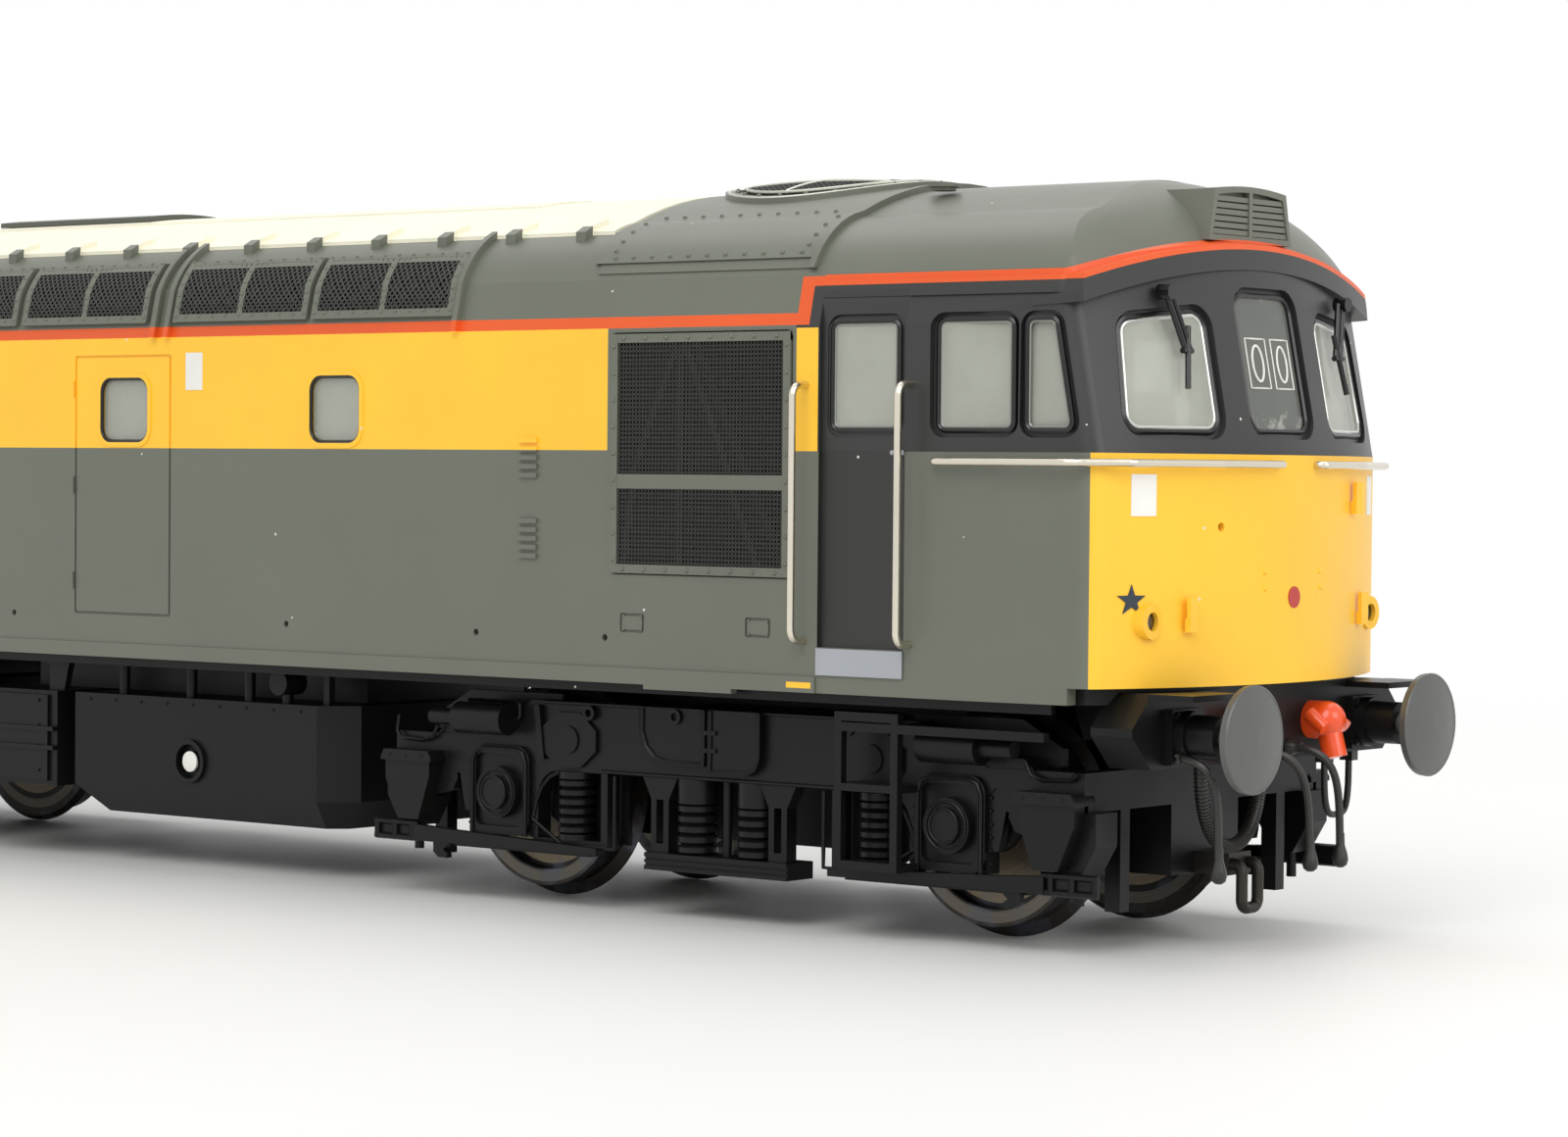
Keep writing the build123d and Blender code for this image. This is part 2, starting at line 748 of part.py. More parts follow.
with BuildPart() as window_rims:
    for corners in body_windows:
        add(side_prism(corners, window_corner_radius, window_rim_width))
    rim_y = body_half_width + window_rim_rise
    block((-body_seam_x, body_seam_x), (-rim_y, rim_y), (sill_z, cantrail_z), Mode.INTERSECT)
    block((-body_seam_x, body_seam_x), (shell_wall / 2 - body_half_width, body_half_width - shell_wall / 2),
          (sill_z, cantrail_z), Mode.SUBTRACT)

with BuildPart() as fan_ring:
    with Locations((fan_x, 0, crown_foot_z)):
        Cylinder(fan_ring_radius, 2 * crown_rise, align=(Align.CENTER, Align.CENTER, Align.MIN))
    add(roof_layer((fan_x - fan_ring_radius, fan_x + fan_ring_radius), (-fan_ring_radius, fan_ring_radius),
                   roof_span_z, skin_root, fan_ring_rise), mode=Mode.INTERSECT)

with BuildPart() as body_shell:
    extrude(body_section(Plane.YZ, 0, sill_z), amount=body_seam_x, both=True)
    add(side_fittings.part)
    add(window_rims.part)
    add(roof_panels.part)
    add(drain_strips)
    add(roof_clips)
    add(fan_ring.part)
    extrude(body_section(Plane.YZ, shell_wall, sill_z - cut_overrun), amount=body_seam_x, both=True,
            mode=Mode.SUBTRACT)
    with Locations((fan_x, 0, crown_foot_z - cut_overrun)):
        Cylinder(fan_ring_radius - fan_ring_wall, 2 * crown_rise + cut_overrun,
                 align=(Align.CENTER, Align.CENTER, Align.MIN), mode=Mode.SUBTRACT)
    for corners in body_windows:
        add(side_prism(corners, window_corner_radius, 0), mode=Mode.SUBTRACT)
    add(side_prism(radiator_corners, window_corner_radius / 2, 0), mode=Mode.SUBTRACT)
    add(side_grooves.part, mode=Mode.SUBTRACT)
    for share in drain_hole_x_shares:
        hole_x, hole_z = side_x(share), side_z(drain_hole_z_share)
        rod((hole_x, -body_half_width - cut_overrun, hole_z), (hole_x, body_half_width + cut_overrun, hole_z),
            drain_hole_radius, Mode.SUBTRACT)

# The brow stands out over the windscreens and carries the stripe on its edge
with BuildPart() as brow_band:
    with BuildSketch(Plane.XZ):
        band_back_x = brow_x - dome_length / 2
        with BuildLine():
            Polyline((brow_x, brow_z), (brow_x + brow_band_overhang, brow_z - brow_band_height),
                     (band_back_x, brow_z - brow_band_height), (band_back_x, brow_z), close=True)
        make_face()
    revolve(axis=brow_axis)
    extrude(body_section(Plane.YZ.offset(body_seam_x), 0, sill_z), amount=cab_length, mode=Mode.INTERSECT)
    extrude(plan_outline(Plane.XY.offset(sill_z), nose_x, nose_bow_radius, 0, body_seam_x),
            amount=roof_top_z - sill_z, mode=Mode.INTERSECT)

# The same band along the cab's sides, above doors and windows
with BuildPart() as side_band:
    add(cab_form(-side_band_rise, door_x[0], nose_foot_z))
    add(cab_form(shell_wall / 2, body_seam_x, nose_foot_z - cut_overrun), mode=Mode.SUBTRACT)
    band_top_z = brow_z - brow_drop
    block((door_x[0], nose_surface_x(nose_corner_y) - nose_corner_radius),
          (-body_half_width, body_half_width),
          (band_top_z - side_band_height, band_top_z), Mode.INTERSECT)

# Skirt strip that carries the sill on below the cab's sides
with BuildPart() as cab_skirt:
    extrude(plan_outline(Plane.XY.offset(sill_z), nose_x, nose_bow_radius, 0, body_seam_x),
            amount=sill_bead_height)
    extrude(plan_outline(Plane.XY.offset(sill_z), nose_x, nose_bow_radius, shell_wall,
                         body_seam_x - 2 * shell_wall),
            amount=sill_bead_height, mode=Mode.SUBTRACT)
    block((nose_surface_x(nose_corner_y) - nose_corner_radius, nose_x + cut_overrun),
          (-body_half_width, body_half_width), (sill_z - cut_overrun, nose_foot_z + cut_overrun),
          Mode.SUBTRACT)

# Horn housing on the front of the dome: arched box with a rim, a middle bar and slats
horn_foot_z = brow_z + dome_foot_rise / 2
horn_top_z = horn_foot_z + horn_box_height
horn_face_x = nose_x - horn_box_front_setback


def horn_outline(inset):
    """Front of the horn housing, an arch-topped trapezium drawn in by inset."""
    foot, top = horn_box_foot_half - inset, horn_box_top_half - inset
    low, high = horn_foot_z + inset, horn_top_z - inset
    with BuildSketch(Plane.YZ.offset(horn_face_x)) as outline:
        with BuildLine():
            Polyline((-top, high), (-foot, low), (foot, low), (top, high))
            ThreePointArc((top, high), (0, high + horn_box_arch), (-top, high))
        make_face()
    return outline.sketch


with BuildPart() as horn_slats:
    slat_pitch = (horn_box_height - 2 * horn_rim) / horn_slat_count
    for count in range(horn_slat_count):
        slat_z = horn_foot_z + horn_rim + (count + 1 / 2) * slat_pitch
        block((horn_face_x - horn_slat_depth - seat_gap, horn_face_x - seat_gap),
              (-horn_box_foot_half, horn_box_foot_half),
              (slat_z - horn_slat_thickness / 2, slat_z + horn_slat_thickness / 2))
    block((horn_face_x - horn_slat_depth - seat_gap, horn_face_x), (-horn_rim / 2, horn_rim / 2),
          (horn_foot_z, horn_top_z))
    extrude(horn_outline(horn_rim / 2), amount=-horn_box_length, mode=Mode.INTERSECT)

# Front cab shell, hollow, with windows cut, their surrounds sunk and its doors set back
cab_outer = cab_form(0, body_seam_x, nose_foot_z)
cab_cavity = cab_form(shell_wall, body_seam_x - cut_overrun, nose_foot_z - cut_overrun)
with BuildPart() as window_surrounds:
    add(cab_window_bars(window_surround_width))
    add(screen_prism(headcode_corners, window_corner_radius, window_surround_width))
    add(cab_form(window_surround_depth, body_seam_x - cut_overrun, nose_foot_z - cut_overrun),
        mode=Mode.SUBTRACT)

lamp_y_share = 0.755
lamp_z_share = 0.2186
nose_hole_shares = (-0.435, 0.4656)        # across and up the side
lamp_z = side_z(lamp_z_share)
iron_places = ((0.5924, 0.19), (0.5, 0.498))       # lower and upper lamp irons, shares across and up
with BuildPart() as cab_shell:
    add(cab_outer)
    add(brow_band.part)
    add(side_band.part)
    extrude(horn_outline(0), amount=-horn_box_length)
    for side in (-1, 1):
        lamp_y = side * across(lamp_y_share)
        lamp_x = nose_surface_x(lamp_y)
        rod((lamp_x - shell_wall, lamp_y, lamp_z), (lamp_x + lamp_bezel_reach, lamp_y, lamp_z),
            lamp_bezel_radius)
    extrude(horn_outline(horn_rim), amount=-horn_slat_depth - seat_gap, mode=Mode.SUBTRACT)
    add(horn_slats.part)
    add(cab_cavity, mode=Mode.SUBTRACT)
    add(cab_skirt.part)
    add(window_surrounds.part, mode=Mode.SUBTRACT)
    add(cab_window_bars(0), mode=Mode.SUBTRACT)
    add(screen_prism(headcode_corners, window_corner_radius, 0), mode=Mode.SUBTRACT)
    for side in (-1, 1):
        block(door_x, (side * (body_half_width - door_recess), side * (body_half_width + cut_overrun)),
              door_z,
              Mode.SUBTRACT)
        lamp_y = side * across(lamp_y_share)
        lamp_x = nose_surface_x(lamp_y)
        rod((lamp_x - 2 * shell_wall, lamp_y, lamp_z), (lamp_x + cut_overrun, lamp_y, lamp_z),
            lamp_hole_radius,
            Mode.SUBTRACT)
    hole_y, hole_z = across(nose_hole_shares[0]), side_z(nose_hole_shares[1])
    rod((nose_surface_x(hole_y) - 2 * shell_wall, hole_y, hole_z), (nose_x + cut_overrun, hole_y, hole_z),
        iron_hole_radius, Mode.SUBTRACT)

# Glass: one skin set back from the cab's surface, cut to the openings
with BuildPart() as cab_glazing:
    add(cab_form(glass_inset, body_seam_x, nose_foot_z))
    add(cab_form(glass_inset + glass_thickness, body_seam_x - cut_overrun, nose_foot_z - cut_overrun),
        mode=Mode.SUBTRACT)
    add(cab_window_bars(-seat_gap / 2), mode=Mode.INTERSECT)

with BuildPart() as headcode_panel:
    add(cab_form(headcode_inset, body_seam_x, nose_foot_z))
    add(cab_form(headcode_inset + glass_thickness, body_seam_x - cut_overrun, nose_foot_z - cut_overrun),
        mode=Mode.SUBTRACT)
    add(screen_prism(headcode_corners, window_corner_radius, -seat_gap / 2), mode=Mode.INTERSECT)

# Cantrail grille: a frame with two panes of diagonal mesh, curved with the roof's shoulder
grille_z = (cantrail_z + cantrail_grille_z_shares[0] * eaves_rise,
            eaves_z + cantrail_grille_z_shares[1] * shoulder_rise)
grille_height = grille_z[1] - grille_z[0]
cantrail_grille_length = side_x(cantrail_grille_length_share)
grille_lift = seat_gap / 2
with BuildSketch(Plane.XZ) as grille_frame:
    with Locations((0, (grille_z[0] + grille_z[1]) / 2)):
        Rectangle(cantrail_grille_length, grille_height)
        with GridLocations((cantrail_grille_length - grille_frame_width) / 2, 0, 2, 1):
            Rectangle(cantrail_grille_length / 2 - 3 / 2 * grille_frame_width,
                      grille_height - 2 * grille_frame_width,
                      mode=Mode.SUBTRACT)
with BuildSketch(Plane.XZ) as grille_mesh:
    with Locations((0, (grille_z[0] + grille_z[1]) / 2)):
        mesh_count = int((cantrail_grille_length + grille_height) / cantrail_mesh_pitch)
        with GridLocations(cantrail_mesh_pitch, 0, mesh_count, 1):
            for turn in (-cantrail_mesh_angle, cantrail_mesh_angle):
                Rectangle(cantrail_mesh_bar, 2 * grille_height, rotation=turn)
        Rectangle(cantrail_grille_length - grille_frame_width, grille_height - grille_frame_width,
                  mode=Mode.INTERSECT)
half_grille = (-cantrail_grille_length / 2, cantrail_grille_length / 2)
frame_prism = extrude(grille_frame.sketch, amount=-body_half_width - cut_overrun)
mesh_prism = extrude(grille_mesh.sketch, amount=-body_half_width - cut_overrun)
with BuildPart() as cantrail_grille:
    add(on_skin(half_grille, frame_prism, grille_lift, grille_lift + grille_thickness))
    add(on_skin(half_grille, mesh_prism, grille_lift, grille_lift + grille_thickness / 2))

# Radiator grille: frame, cross rail, level slats and the struts behind them, in the opening of the side
radiator_face = body_half_width - seat_gap
radiator_height = radiator_z[1] - radiator_z[0]
radiator_rail_z = side_z(radiator_rail_share)
with BuildPart() as radiator_grille:
    add(side_prism(radiator_corners, window_corner_radius / 2, -seat_gap))
    pane_x = (radiator_x[0] + radiator_frame_width, radiator_x[1] - radiator_frame_width)
    lower_pane = (radiator_z[0] + radiator_frame_width, radiator_rail_z - radiator_rail_height / 2)
    upper_pane = (radiator_rail_z + radiator_rail_height / 2, radiator_z[1] - radiator_frame_width)
    for pane in (lower_pane, upper_pane):
        add(side_prism(box_corners(pane_x, pane), engraving_width, 0), mode=Mode.SUBTRACT)
    slat_x = (pane_x[0] - engraving_width, pane_x[1] + engraving_width)
    slat_count = int(radiator_height / radiator_slat_pitch)
    for count in range(1, slat_count):
        slat_z = radiator_z[0] + count * radiator_slat_pitch
        to_bars = (abs(slat_z - radiator_rail_z), slat_z - radiator_z[0], radiator_z[1] - slat_z)
        if min(to_bars) > radiator_slat_pitch:
            block(slat_x, (0, radiator_face),
                  (slat_z - radiator_slat_height / 2, slat_z + radiator_slat_height / 2))
    block(radiator_x, (radiator_face - shell_wall / 2, radiator_face), (sill_z, cantrail_z), Mode.INTERSECT)
    with BuildSketch(Plane.XZ.offset(-radiator_face + shell_wall / 4)):
        strut_head_z = radiator_z[1] - radiator_frame_width / 2
        for foot_share, foot_z_share, head_share in radiator_struts:
            foot_z = side_z(foot_z_share)
            with BuildLine():
                Polyline((side_x(foot_share), foot_z), (side_x(foot_share) + radiator_strut_width, foot_z),
                         (side_x(head_share) + radiator_strut_width, strut_head_z),
                         (side_x(head_share), strut_head_z), close=True)
            make_face()
    extrude(amount=shell_wall)

# Round fan grille: rings and spokes that follow the roof's curve, in its ring
fan_radius = fan_ring_radius - fan_ring_wall - seat_gap
with BuildPart() as fan_pattern:
    with BuildSketch(Plane.XY.offset(crown_foot_z)):
        with Locations((fan_x, 0)):
            Circle(fan_radius)
            Circle(fan_radius - grille_frame_width, mode=Mode.SUBTRACT)
            ring = fan_radius - grille_frame_width - fan_grille_pitch
            while ring > fan_hub_radius + fan_grille_pitch:
                Circle(ring + fan_grille_bar / 2)
                Circle(ring - fan_grille_bar / 2, mode=Mode.SUBTRACT)
                ring -= fan_grille_pitch
            Circle(fan_hub_radius)
            with PolarLocations((fan_radius - grille_frame_width / 2) / 2, fan_spoke_count):
                Rectangle(fan_radius - grille_frame_width / 2, fan_spoke_width)
    extrude(amount=2 * crown_rise)
fan_grille = on_skin((fan_x - fan_radius, fan_x + fan_radius), fan_pattern.part, grille_lift,
                     grille_lift + grille_thickness)

# Long grille on the cream roof: a frame with slats across it
roof_grille_x = [side_x(share) for share in roof_grille_shares]
roof_grille_low = roof_panel_rise + roof_centre_rise + seat_gap / 2
with BuildPart() as roof_grille_pattern:
    with BuildSketch(Plane.XY.offset(crown_foot_z)):
        with Locations(((roof_grille_x[0] + roof_grille_x[1]) / 2, 0)):
            grille_length = roof_grille_x[1] - roof_grille_x[0]
            Rectangle(grille_length, 2 * roof_grille_half_width)
            Rectangle(grille_length - 2 * grille_frame_width,
                      2 * (roof_grille_half_width - grille_frame_width),
                      mode=Mode.SUBTRACT)
            Rectangle(grille_length, roof_grille_slat)
            with GridLocations(roof_grille_pitch, 0, int(grille_length / roof_grille_pitch), 1):
                Rectangle(roof_grille_slat, 2 * roof_grille_half_width)
            Rectangle(grille_length, 2 * roof_grille_half_width, mode=Mode.INTERSECT)
    extrude(amount=2 * crown_rise)
roof_grille = on_skin(roof_grille_x, roof_grille_pattern.part, roof_grille_low,
                      roof_grille_low + grille_thickness)

# Small vent on the cab's roof: a low drum with a cap
vent_x = body_seam_x + roof_vent_setback
vent_foot_z = roof_z(roof_vent_offset - roof_vent_radius) + seat_gap / 2
with BuildPart() as cab_roof_vent:
    rod((vent_x, -roof_vent_offset, vent_foot_z),
        (vent_x, -roof_vent_offset, vent_foot_z + roof_vent_height / 2),
        roof_vent_radius - grille_frame_width / 2)
    rod((vent_x, -roof_vent_offset, vent_foot_z + roof_vent_height / 2),
        (vent_x, -roof_vent_offset, vent_foot_z + roof_vent_height), roof_vent_radius)

# Panes of the body windows
pane_face = body_half_width - glass_inset
with BuildPart() as body_glazing:
    for corners in body_windows:
        add(side_prism(corners, window_corner_radius, -seat_gap / 2))
    block((-body_seam_x, body_seam_x), (-pane_face, pane_face), (sill_z, roof_top_z), Mode.INTERSECT)
    block((-body_seam_x, body_seam_x), (-pane_face + glass_thickness, pane_face - glass_thickness),
          (sill_z, roof_top_z), Mode.SUBTRACT)

# Floor with headstocks, buffer housings and the beam between the bogies
with BuildPart() as underframe:
    extrude(plan_outline(Plane.XY.offset(floor_foot_z), nose_x, nose_bow_radius, shell_wall + seat_gap,
                         -shell_wall),
            amount=floor_thickness)
    block((headstock_x, nose_x + cut_overrun), (-body_half_width, body_half_width),
          (floor_foot_z, floor_top_z),
          Mode.SUBTRACT)
    mirror(about=Plane.YZ)
    beam_end_x = tank_front_x - tank_corner
    block((-beam_end_x, beam_end_x), (-chassis_block_half_width, chassis_block_half_width),
          (tank_top_z, floor_foot_z))
    for end in (-1, 1):
        with BuildSketch(Plane.YZ.offset(end * headstock_x)) as headstock_face:
            with Locations((0, (headstock_top_z + headstock_foot_z) / 2)):
                Rectangle(2 * headstock_half_width, headstock_depth)
            chamfer(headstock_face.vertices().group_by(Axis.Z)[0], headstock_chamfer)
        extrude(amount=-end * headstock_thickness)
        for side in (-1, 1):
            buffer_root = Vector(end * headstock_x, side * buffer_y, buffer_height)
            half_flange = buffer_flange_width / 2
            block((end * headstock_x, end * (headstock_x + buffer_flange_thickness)),
                  (buffer_root.Y - half_flange, buffer_root.Y + half_flange),
                  (buffer_height - half_flange, buffer_height + half_flange))
            rod(buffer_root, buffer_root + Vector(end * buffer_housing_length, 0, 0), buffer_housing_radius)
            rod(buffer_root, buffer_root + Vector(end * (buffer_flange_thickness + buffer_collar_width), 0,
                                                  0),
                buffer_collar_radius)
            step_inner_y = buffer_y - half_flange
            block((end * headstock_x, end * (headstock_x + buffer_housing_length)),
                  (side * step_inner_y, side * (step_inner_y + buffer_step_width)),
                  (headstock_top_z - buffer_step_thickness, headstock_top_z))
            rod(buffer_root + Vector(end * buffer_housing_length / 2, 0, 0),
                buffer_root + Vector(end * (buffer_housing_length + cut_overrun), 0, 0),
                buffer_ram_radius + shaft_gap, Mode.SUBTRACT)
        rod((end * bogie_x, 0, floor_foot_z - cut_overrun), (end * bogie_x, 0, floor_top_z + cut_overrun),
            pivot_radius + shaft_gap, Mode.SUBTRACT)

# Ballast and motor of the model, one heavy block on the floor
with BuildPart() as chassis_block:
    block((-bogie_x + 2 * pivot_radius, bogie_x - 2 * pivot_radius),
          (-chassis_block_half_width, chassis_block_half_width),
          (floor_top_z, floor_top_z + chassis_block_height))

# Sprung buffers: ram and domed head
buffer_face_x = nose_x + buffer_reach
with BuildPart() as buffers:
    for end in (-1, 1):
        for side in (-1, 1):
            ram_root = end * (headstock_x + buffer_housing_length / 2)
            head_back = end * (buffer_face_x - buffer_head_thickness)
            rim = end * (buffer_face_x - buffer_dome)
            with BuildSketch(Plane.XZ.offset(-side * buffer_y)):
                with BuildLine():
                    Polyline((ram_root, buffer_height), (ram_root, buffer_height + buffer_ram_radius),
                             (head_back - end * buffer_ram_radius, buffer_height + buffer_ram_radius),
                             (head_back, buffer_height + 2 * buffer_ram_radius),
                             (head_back, buffer_height + buffer_head_radius),
                             (rim, buffer_height + buffer_head_radius))
                    dome_radius = (buffer_head_radius ** 2 + buffer_dome ** 2) / (2 * buffer_dome)
                    half_height = buffer_height + buffer_head_radius / 2
                    bulge = sqrt(dome_radius ** 2 - (buffer_head_radius / 2) ** 2) - dome_radius
                    ThreePointArc((rim, buffer_height + buffer_head_radius),
                                  (end * (buffer_face_x + bulge), half_height),
                                  (end * buffer_face_x, buffer_height))
                    Line((end * buffer_face_x, buffer_height), (ram_root, buffer_height))
                make_face()
            revolve(axis=Axis((0, side * buffer_y, buffer_height), (1, 0, 0)))

# Fuel tank: chamfered front corners, sloping skirt, gauge on each side
skirt_z = tank_top_z - tank_depth + tank_skirt
gauge_x_share = 0.452
gauge_z_share = 0.33
with BuildPart() as fuel_tank:
    with BuildSketch(Plane.XY.offset(skirt_z)) as tank_plan:
        with Locations(((tank_back_x + tank_front_x) / 2, 0)):
            Rectangle(tank_length, 2 * tank_half_width)
        chamfer(tank_plan.vertices().group_by(Axis.X)[-1], tank_corner)
    extrude(amount=tank_depth - tank_skirt)
    extrude(tank_plan.sketch, amount=-tank_skirt, taper=tank_skirt_angle)
    gauge_x = tank_back_x + gauge_x_share * tank_length
    gauge_z = skirt_z + gauge_z_share * (tank_depth - tank_skirt)
    for side in (-1, 1):
        face_y = side * tank_half_width
        root_y = face_y - side * gauge_rim
        rod((gauge_x, root_y, gauge_z), (gauge_x, face_y + side * gauge_depth, gauge_z), gauge_radius)
        rod((gauge_x, root_y, gauge_z), (gauge_x, face_y + side * cut_overrun, gauge_z),
            gauge_radius - gauge_rim,
            Mode.SUBTRACT)
        rod((gauge_x, root_y - side * gauge_rim, gauge_z), (gauge_x, face_y, gauge_z), gauge_face_radius)

# Battery boxes behind the tank: ribbed doors and a latch
box_front_x = tank_back_x - battery_gap
box_back_x = -bogie_inner_x + bogie_swing_room
box_half_y = tank_half_width + gauge_depth
battery_rib_shares = (0.40, 0.60)
with BuildPart() as battery_boxes:
    block((box_back_x, box_front_x), (-box_half_y, box_half_y), (tank_top_z - battery_box_depth, tank_top_z))
    for side in (-1, 1):
        block((box_back_x + battery_gap, box_front_x - battery_gap / 2),
              (side * box_half_y, side * (box_half_y + battery_door_rise)),
              (tank_top_z - battery_box_depth + battery_rib_height, tank_top_z - battery_rib_height))
        for share in battery_rib_shares:
            rib_z = tank_top_z - share * battery_box_depth
            block((box_back_x, box_front_x), (side * box_half_y, side * (box_half_y + 2 * battery_door_rise)),
                  (rib_z - battery_rib_height / 2, rib_z + battery_rib_height / 2))

# Pipes, valve and brackets between the tank and the floor
drop_pipe_shares = (0.16, 0.42, 0.64)
pipe_end_share = 0.74
valve_share = 0.78
tee_share = 0.92
with BuildPart() as underfloor_pipes:
    pipe_z = floor_foot_z - pipe_radius
    pipe_y = tank_half_width - 2 * pipe_radius
    for side in (-1, 1):
        rod((tank_back_x, side * pipe_y, pipe_z), (tank_back_x + pipe_end_share * tank_length, side * pipe_y,
                                                   pipe_z),
            pipe_radius)
        for share in drop_pipe_shares:
            foot_x = tank_back_x + share * tank_length
            rod((foot_x, side * pipe_y, pipe_z), (foot_x, side * pipe_y, tank_top_z), drop_pipe_radius)
        valve_x = tank_back_x + valve_share * tank_length
        valve_z = (tank_top_z + floor_foot_z) / 2
        rod((valve_x, side * (pipe_y - valve_length), valve_z),
            (valve_x, side * (pipe_y + valve_length), valve_z),
            valve_radius)
        rod((valve_x, side * pipe_y, tank_top_z), (valve_x, side * pipe_y, floor_foot_z), drop_pipe_radius)
        tee_x = tank_back_x + tee_share * tank_length
        block((tee_x - bracket_width, tee_x + bracket_width),
              (side * (pipe_y - bracket_thickness), side * pipe_y),
              (floor_foot_z - bracket_thickness, floor_foot_z))
        block((tee_x - bracket_thickness / 2, tee_x + bracket_thickness / 2),
              (side * (pipe_y - bracket_thickness), side * pipe_y), (tank_top_z, floor_foot_z))
        gusset = [(box_front_x - bracket_width, tank_top_z), (box_front_x, tank_top_z),
                  (box_front_x + bracket_width / 2, floor_foot_z),
                  (box_front_x - bracket_width, floor_foot_z)]
        add(side_plate(gusset, side * pipe_y, side * bracket_thickness))

# Cab interior: floor, bulkhead, sloping desk and two seats in one moulding
cab_floor_share = 0.30
cab_front_share = 0.80
pedestal_top_share = 0.56
cab_floor_z = side_z(cab_floor_share)
seat_back_shares = ((0.30, 0.55), (0.46, 0.55), (0.46, 0.60), (0.365, 0.60), (0.345, 0.84), (0.30, 0.84))
desk_shares = ((0.62, 0.645), (0.68, 0.70), (0.80, 0.70))       # along the cab and up the side
seat_place_share = 0.50
seat_half_share = 0.13
with BuildPart() as cab_interior:
    inner_half = body_half_width - shell_wall - nose_corner_inset - seat_gap
    extrude(body_section(Plane.YZ.offset(body_seam_x - shell_wall / 2), shell_wall + seat_gap, floor_top_z),
            amount=shell_wall)
    block((body_seam_x, cab_x(cab_front_share)), (-inner_half, inner_half),
          (cab_floor_z - shell_wall, cab_floor_z))
    desk = [(cab_x(along), side_z(up)) for along, up in desk_shares]
    desk_profile = [(cab_x(cab_front_share), cab_floor_z - shell_wall / 2),
                    (desk[0][0], cab_floor_z - shell_wall / 2)] + desk
    with BuildSketch(Plane.XZ):
        with BuildLine():
            Polyline(*desk_profile, close=True)
        make_face()
    extrude(amount=inner_half, both=True)
    for side in (-1, 1):
        with BuildSketch(Plane.XZ.offset(-across(side * seat_place_share))):
            with BuildLine():
                Polyline(*[(cab_x(along), side_z(up)) for along, up in seat_back_shares], close=True)
            make_face()
        extrude(amount=across(seat_half_share), both=True)
        pedestal_x = (cab_x(seat_back_shares[0][0]) + seat_gap, cab_x(seat_back_shares[1][0]) - seat_gap)
        pedestal_half = across(seat_half_share) / 2
        pedestal_y = across(side * seat_place_share)
        block(pedestal_x, (pedestal_y - pedestal_half, pedestal_y + pedestal_half),
              (cab_floor_z, side_z(pedestal_top_share)))

# Handrails: two upright ones beside each cab door and one round each corner of the nose
rail_z_shares = (0.142, 0.838)
rail_x_shares = (-0.038, 0.298)
nose_rail_z_share = 0.632
nose_rail_x_shares = (0.38, 0.80)
nose_rail_z = side_z(nose_rail_z_share)
nose_rail_shares = (0.90, 0.50, 0.138)     # of the nose corner's distance from the middle
nose_rail_lifts = (1.4, 1.2, 1.0)          # times the stand-off, so that the rail bows less than the nose
with BuildPart() as handrails:
    rail_foot_z, rail_top_z = (side_z(share) for share in rail_z_shares)
    rail_y = body_half_width + rail_stand_off
    for share in rail_x_shares:
        rail_x = cab_x(share)
        points = [(rail_x, body_half_width, rail_foot_z), (rail_x, rail_y, rail_foot_z),
                  (rail_x, rail_y, rail_top_z), (rail_x, body_half_width, rail_top_z)]
        add(bent_wire(points, rail_radius, 3 * rail_radius))
    side_y = body_half_width + nose_rail_stand_off
    corner_y = nose_corner_y + 3 / 2 * nose_rail_stand_off
    on_nose = [nose_point(share * nose_corner_y, nose_rail_z, lift * nose_rail_stand_off)
               for share, lift in zip(nose_rail_shares, nose_rail_lifts)]
    rail_start_x, rail_turn_x = (cab_x(share) for share in nose_rail_x_shares)
    points = [(rail_start_x, body_half_width, nose_rail_z), (rail_start_x, side_y, nose_rail_z),
              (rail_turn_x, corner_y, nose_rail_z), *on_nose, nose_point(on_nose[-1][1], nose_rail_z, 0)]
    add(bent_wire(points, rail_radius, [2 * rail_radius, nose_rail_bend, nose_rail_bend / 2, nose_rail_bend,
                                        2 * rail_radius]))

# Wipers: a boss under the brow, two arms and the blade on each windscreen; shares across and up the side
wiper_shares = {"boss": (0.61, 1.083), "knee": (0.535, 0.93), "blade_top": (0.505, 0.995),
                "blade_foot": (0.55, 0.83)}
with BuildPart() as wiper:
    lift = 2 * wiper_radius
    ends_of = {name: Vector(screen_x(across(y), side_z(z)) + lift, across(y), side_z(z))
               for name, (y, z) in wiper_shares.items()}
    boss = ends_of["boss"] + Vector(lift, 0, 0)
    apart = Vector(0, 3 * wiper_radius, 0)
    rod(boss - Vector(wiper_boss_radius, 0, 0), boss + Vector(wiper_boss_radius, 0, 0), wiper_boss_radius)
    rod(boss, ends_of["knee"], wiper_radius)
    rod(boss - apart, ends_of["knee"] - apart, wiper_radius)
    rod(ends_of["knee"] - Vector(0, wiper_bar_reach[0], 0), ends_of["knee"] + Vector(0, wiper_bar_reach[1],
                                                                                     0),
        wiper_radius)
    rod(ends_of["blade_top"], ends_of["blade_foot"], wiper_radius)

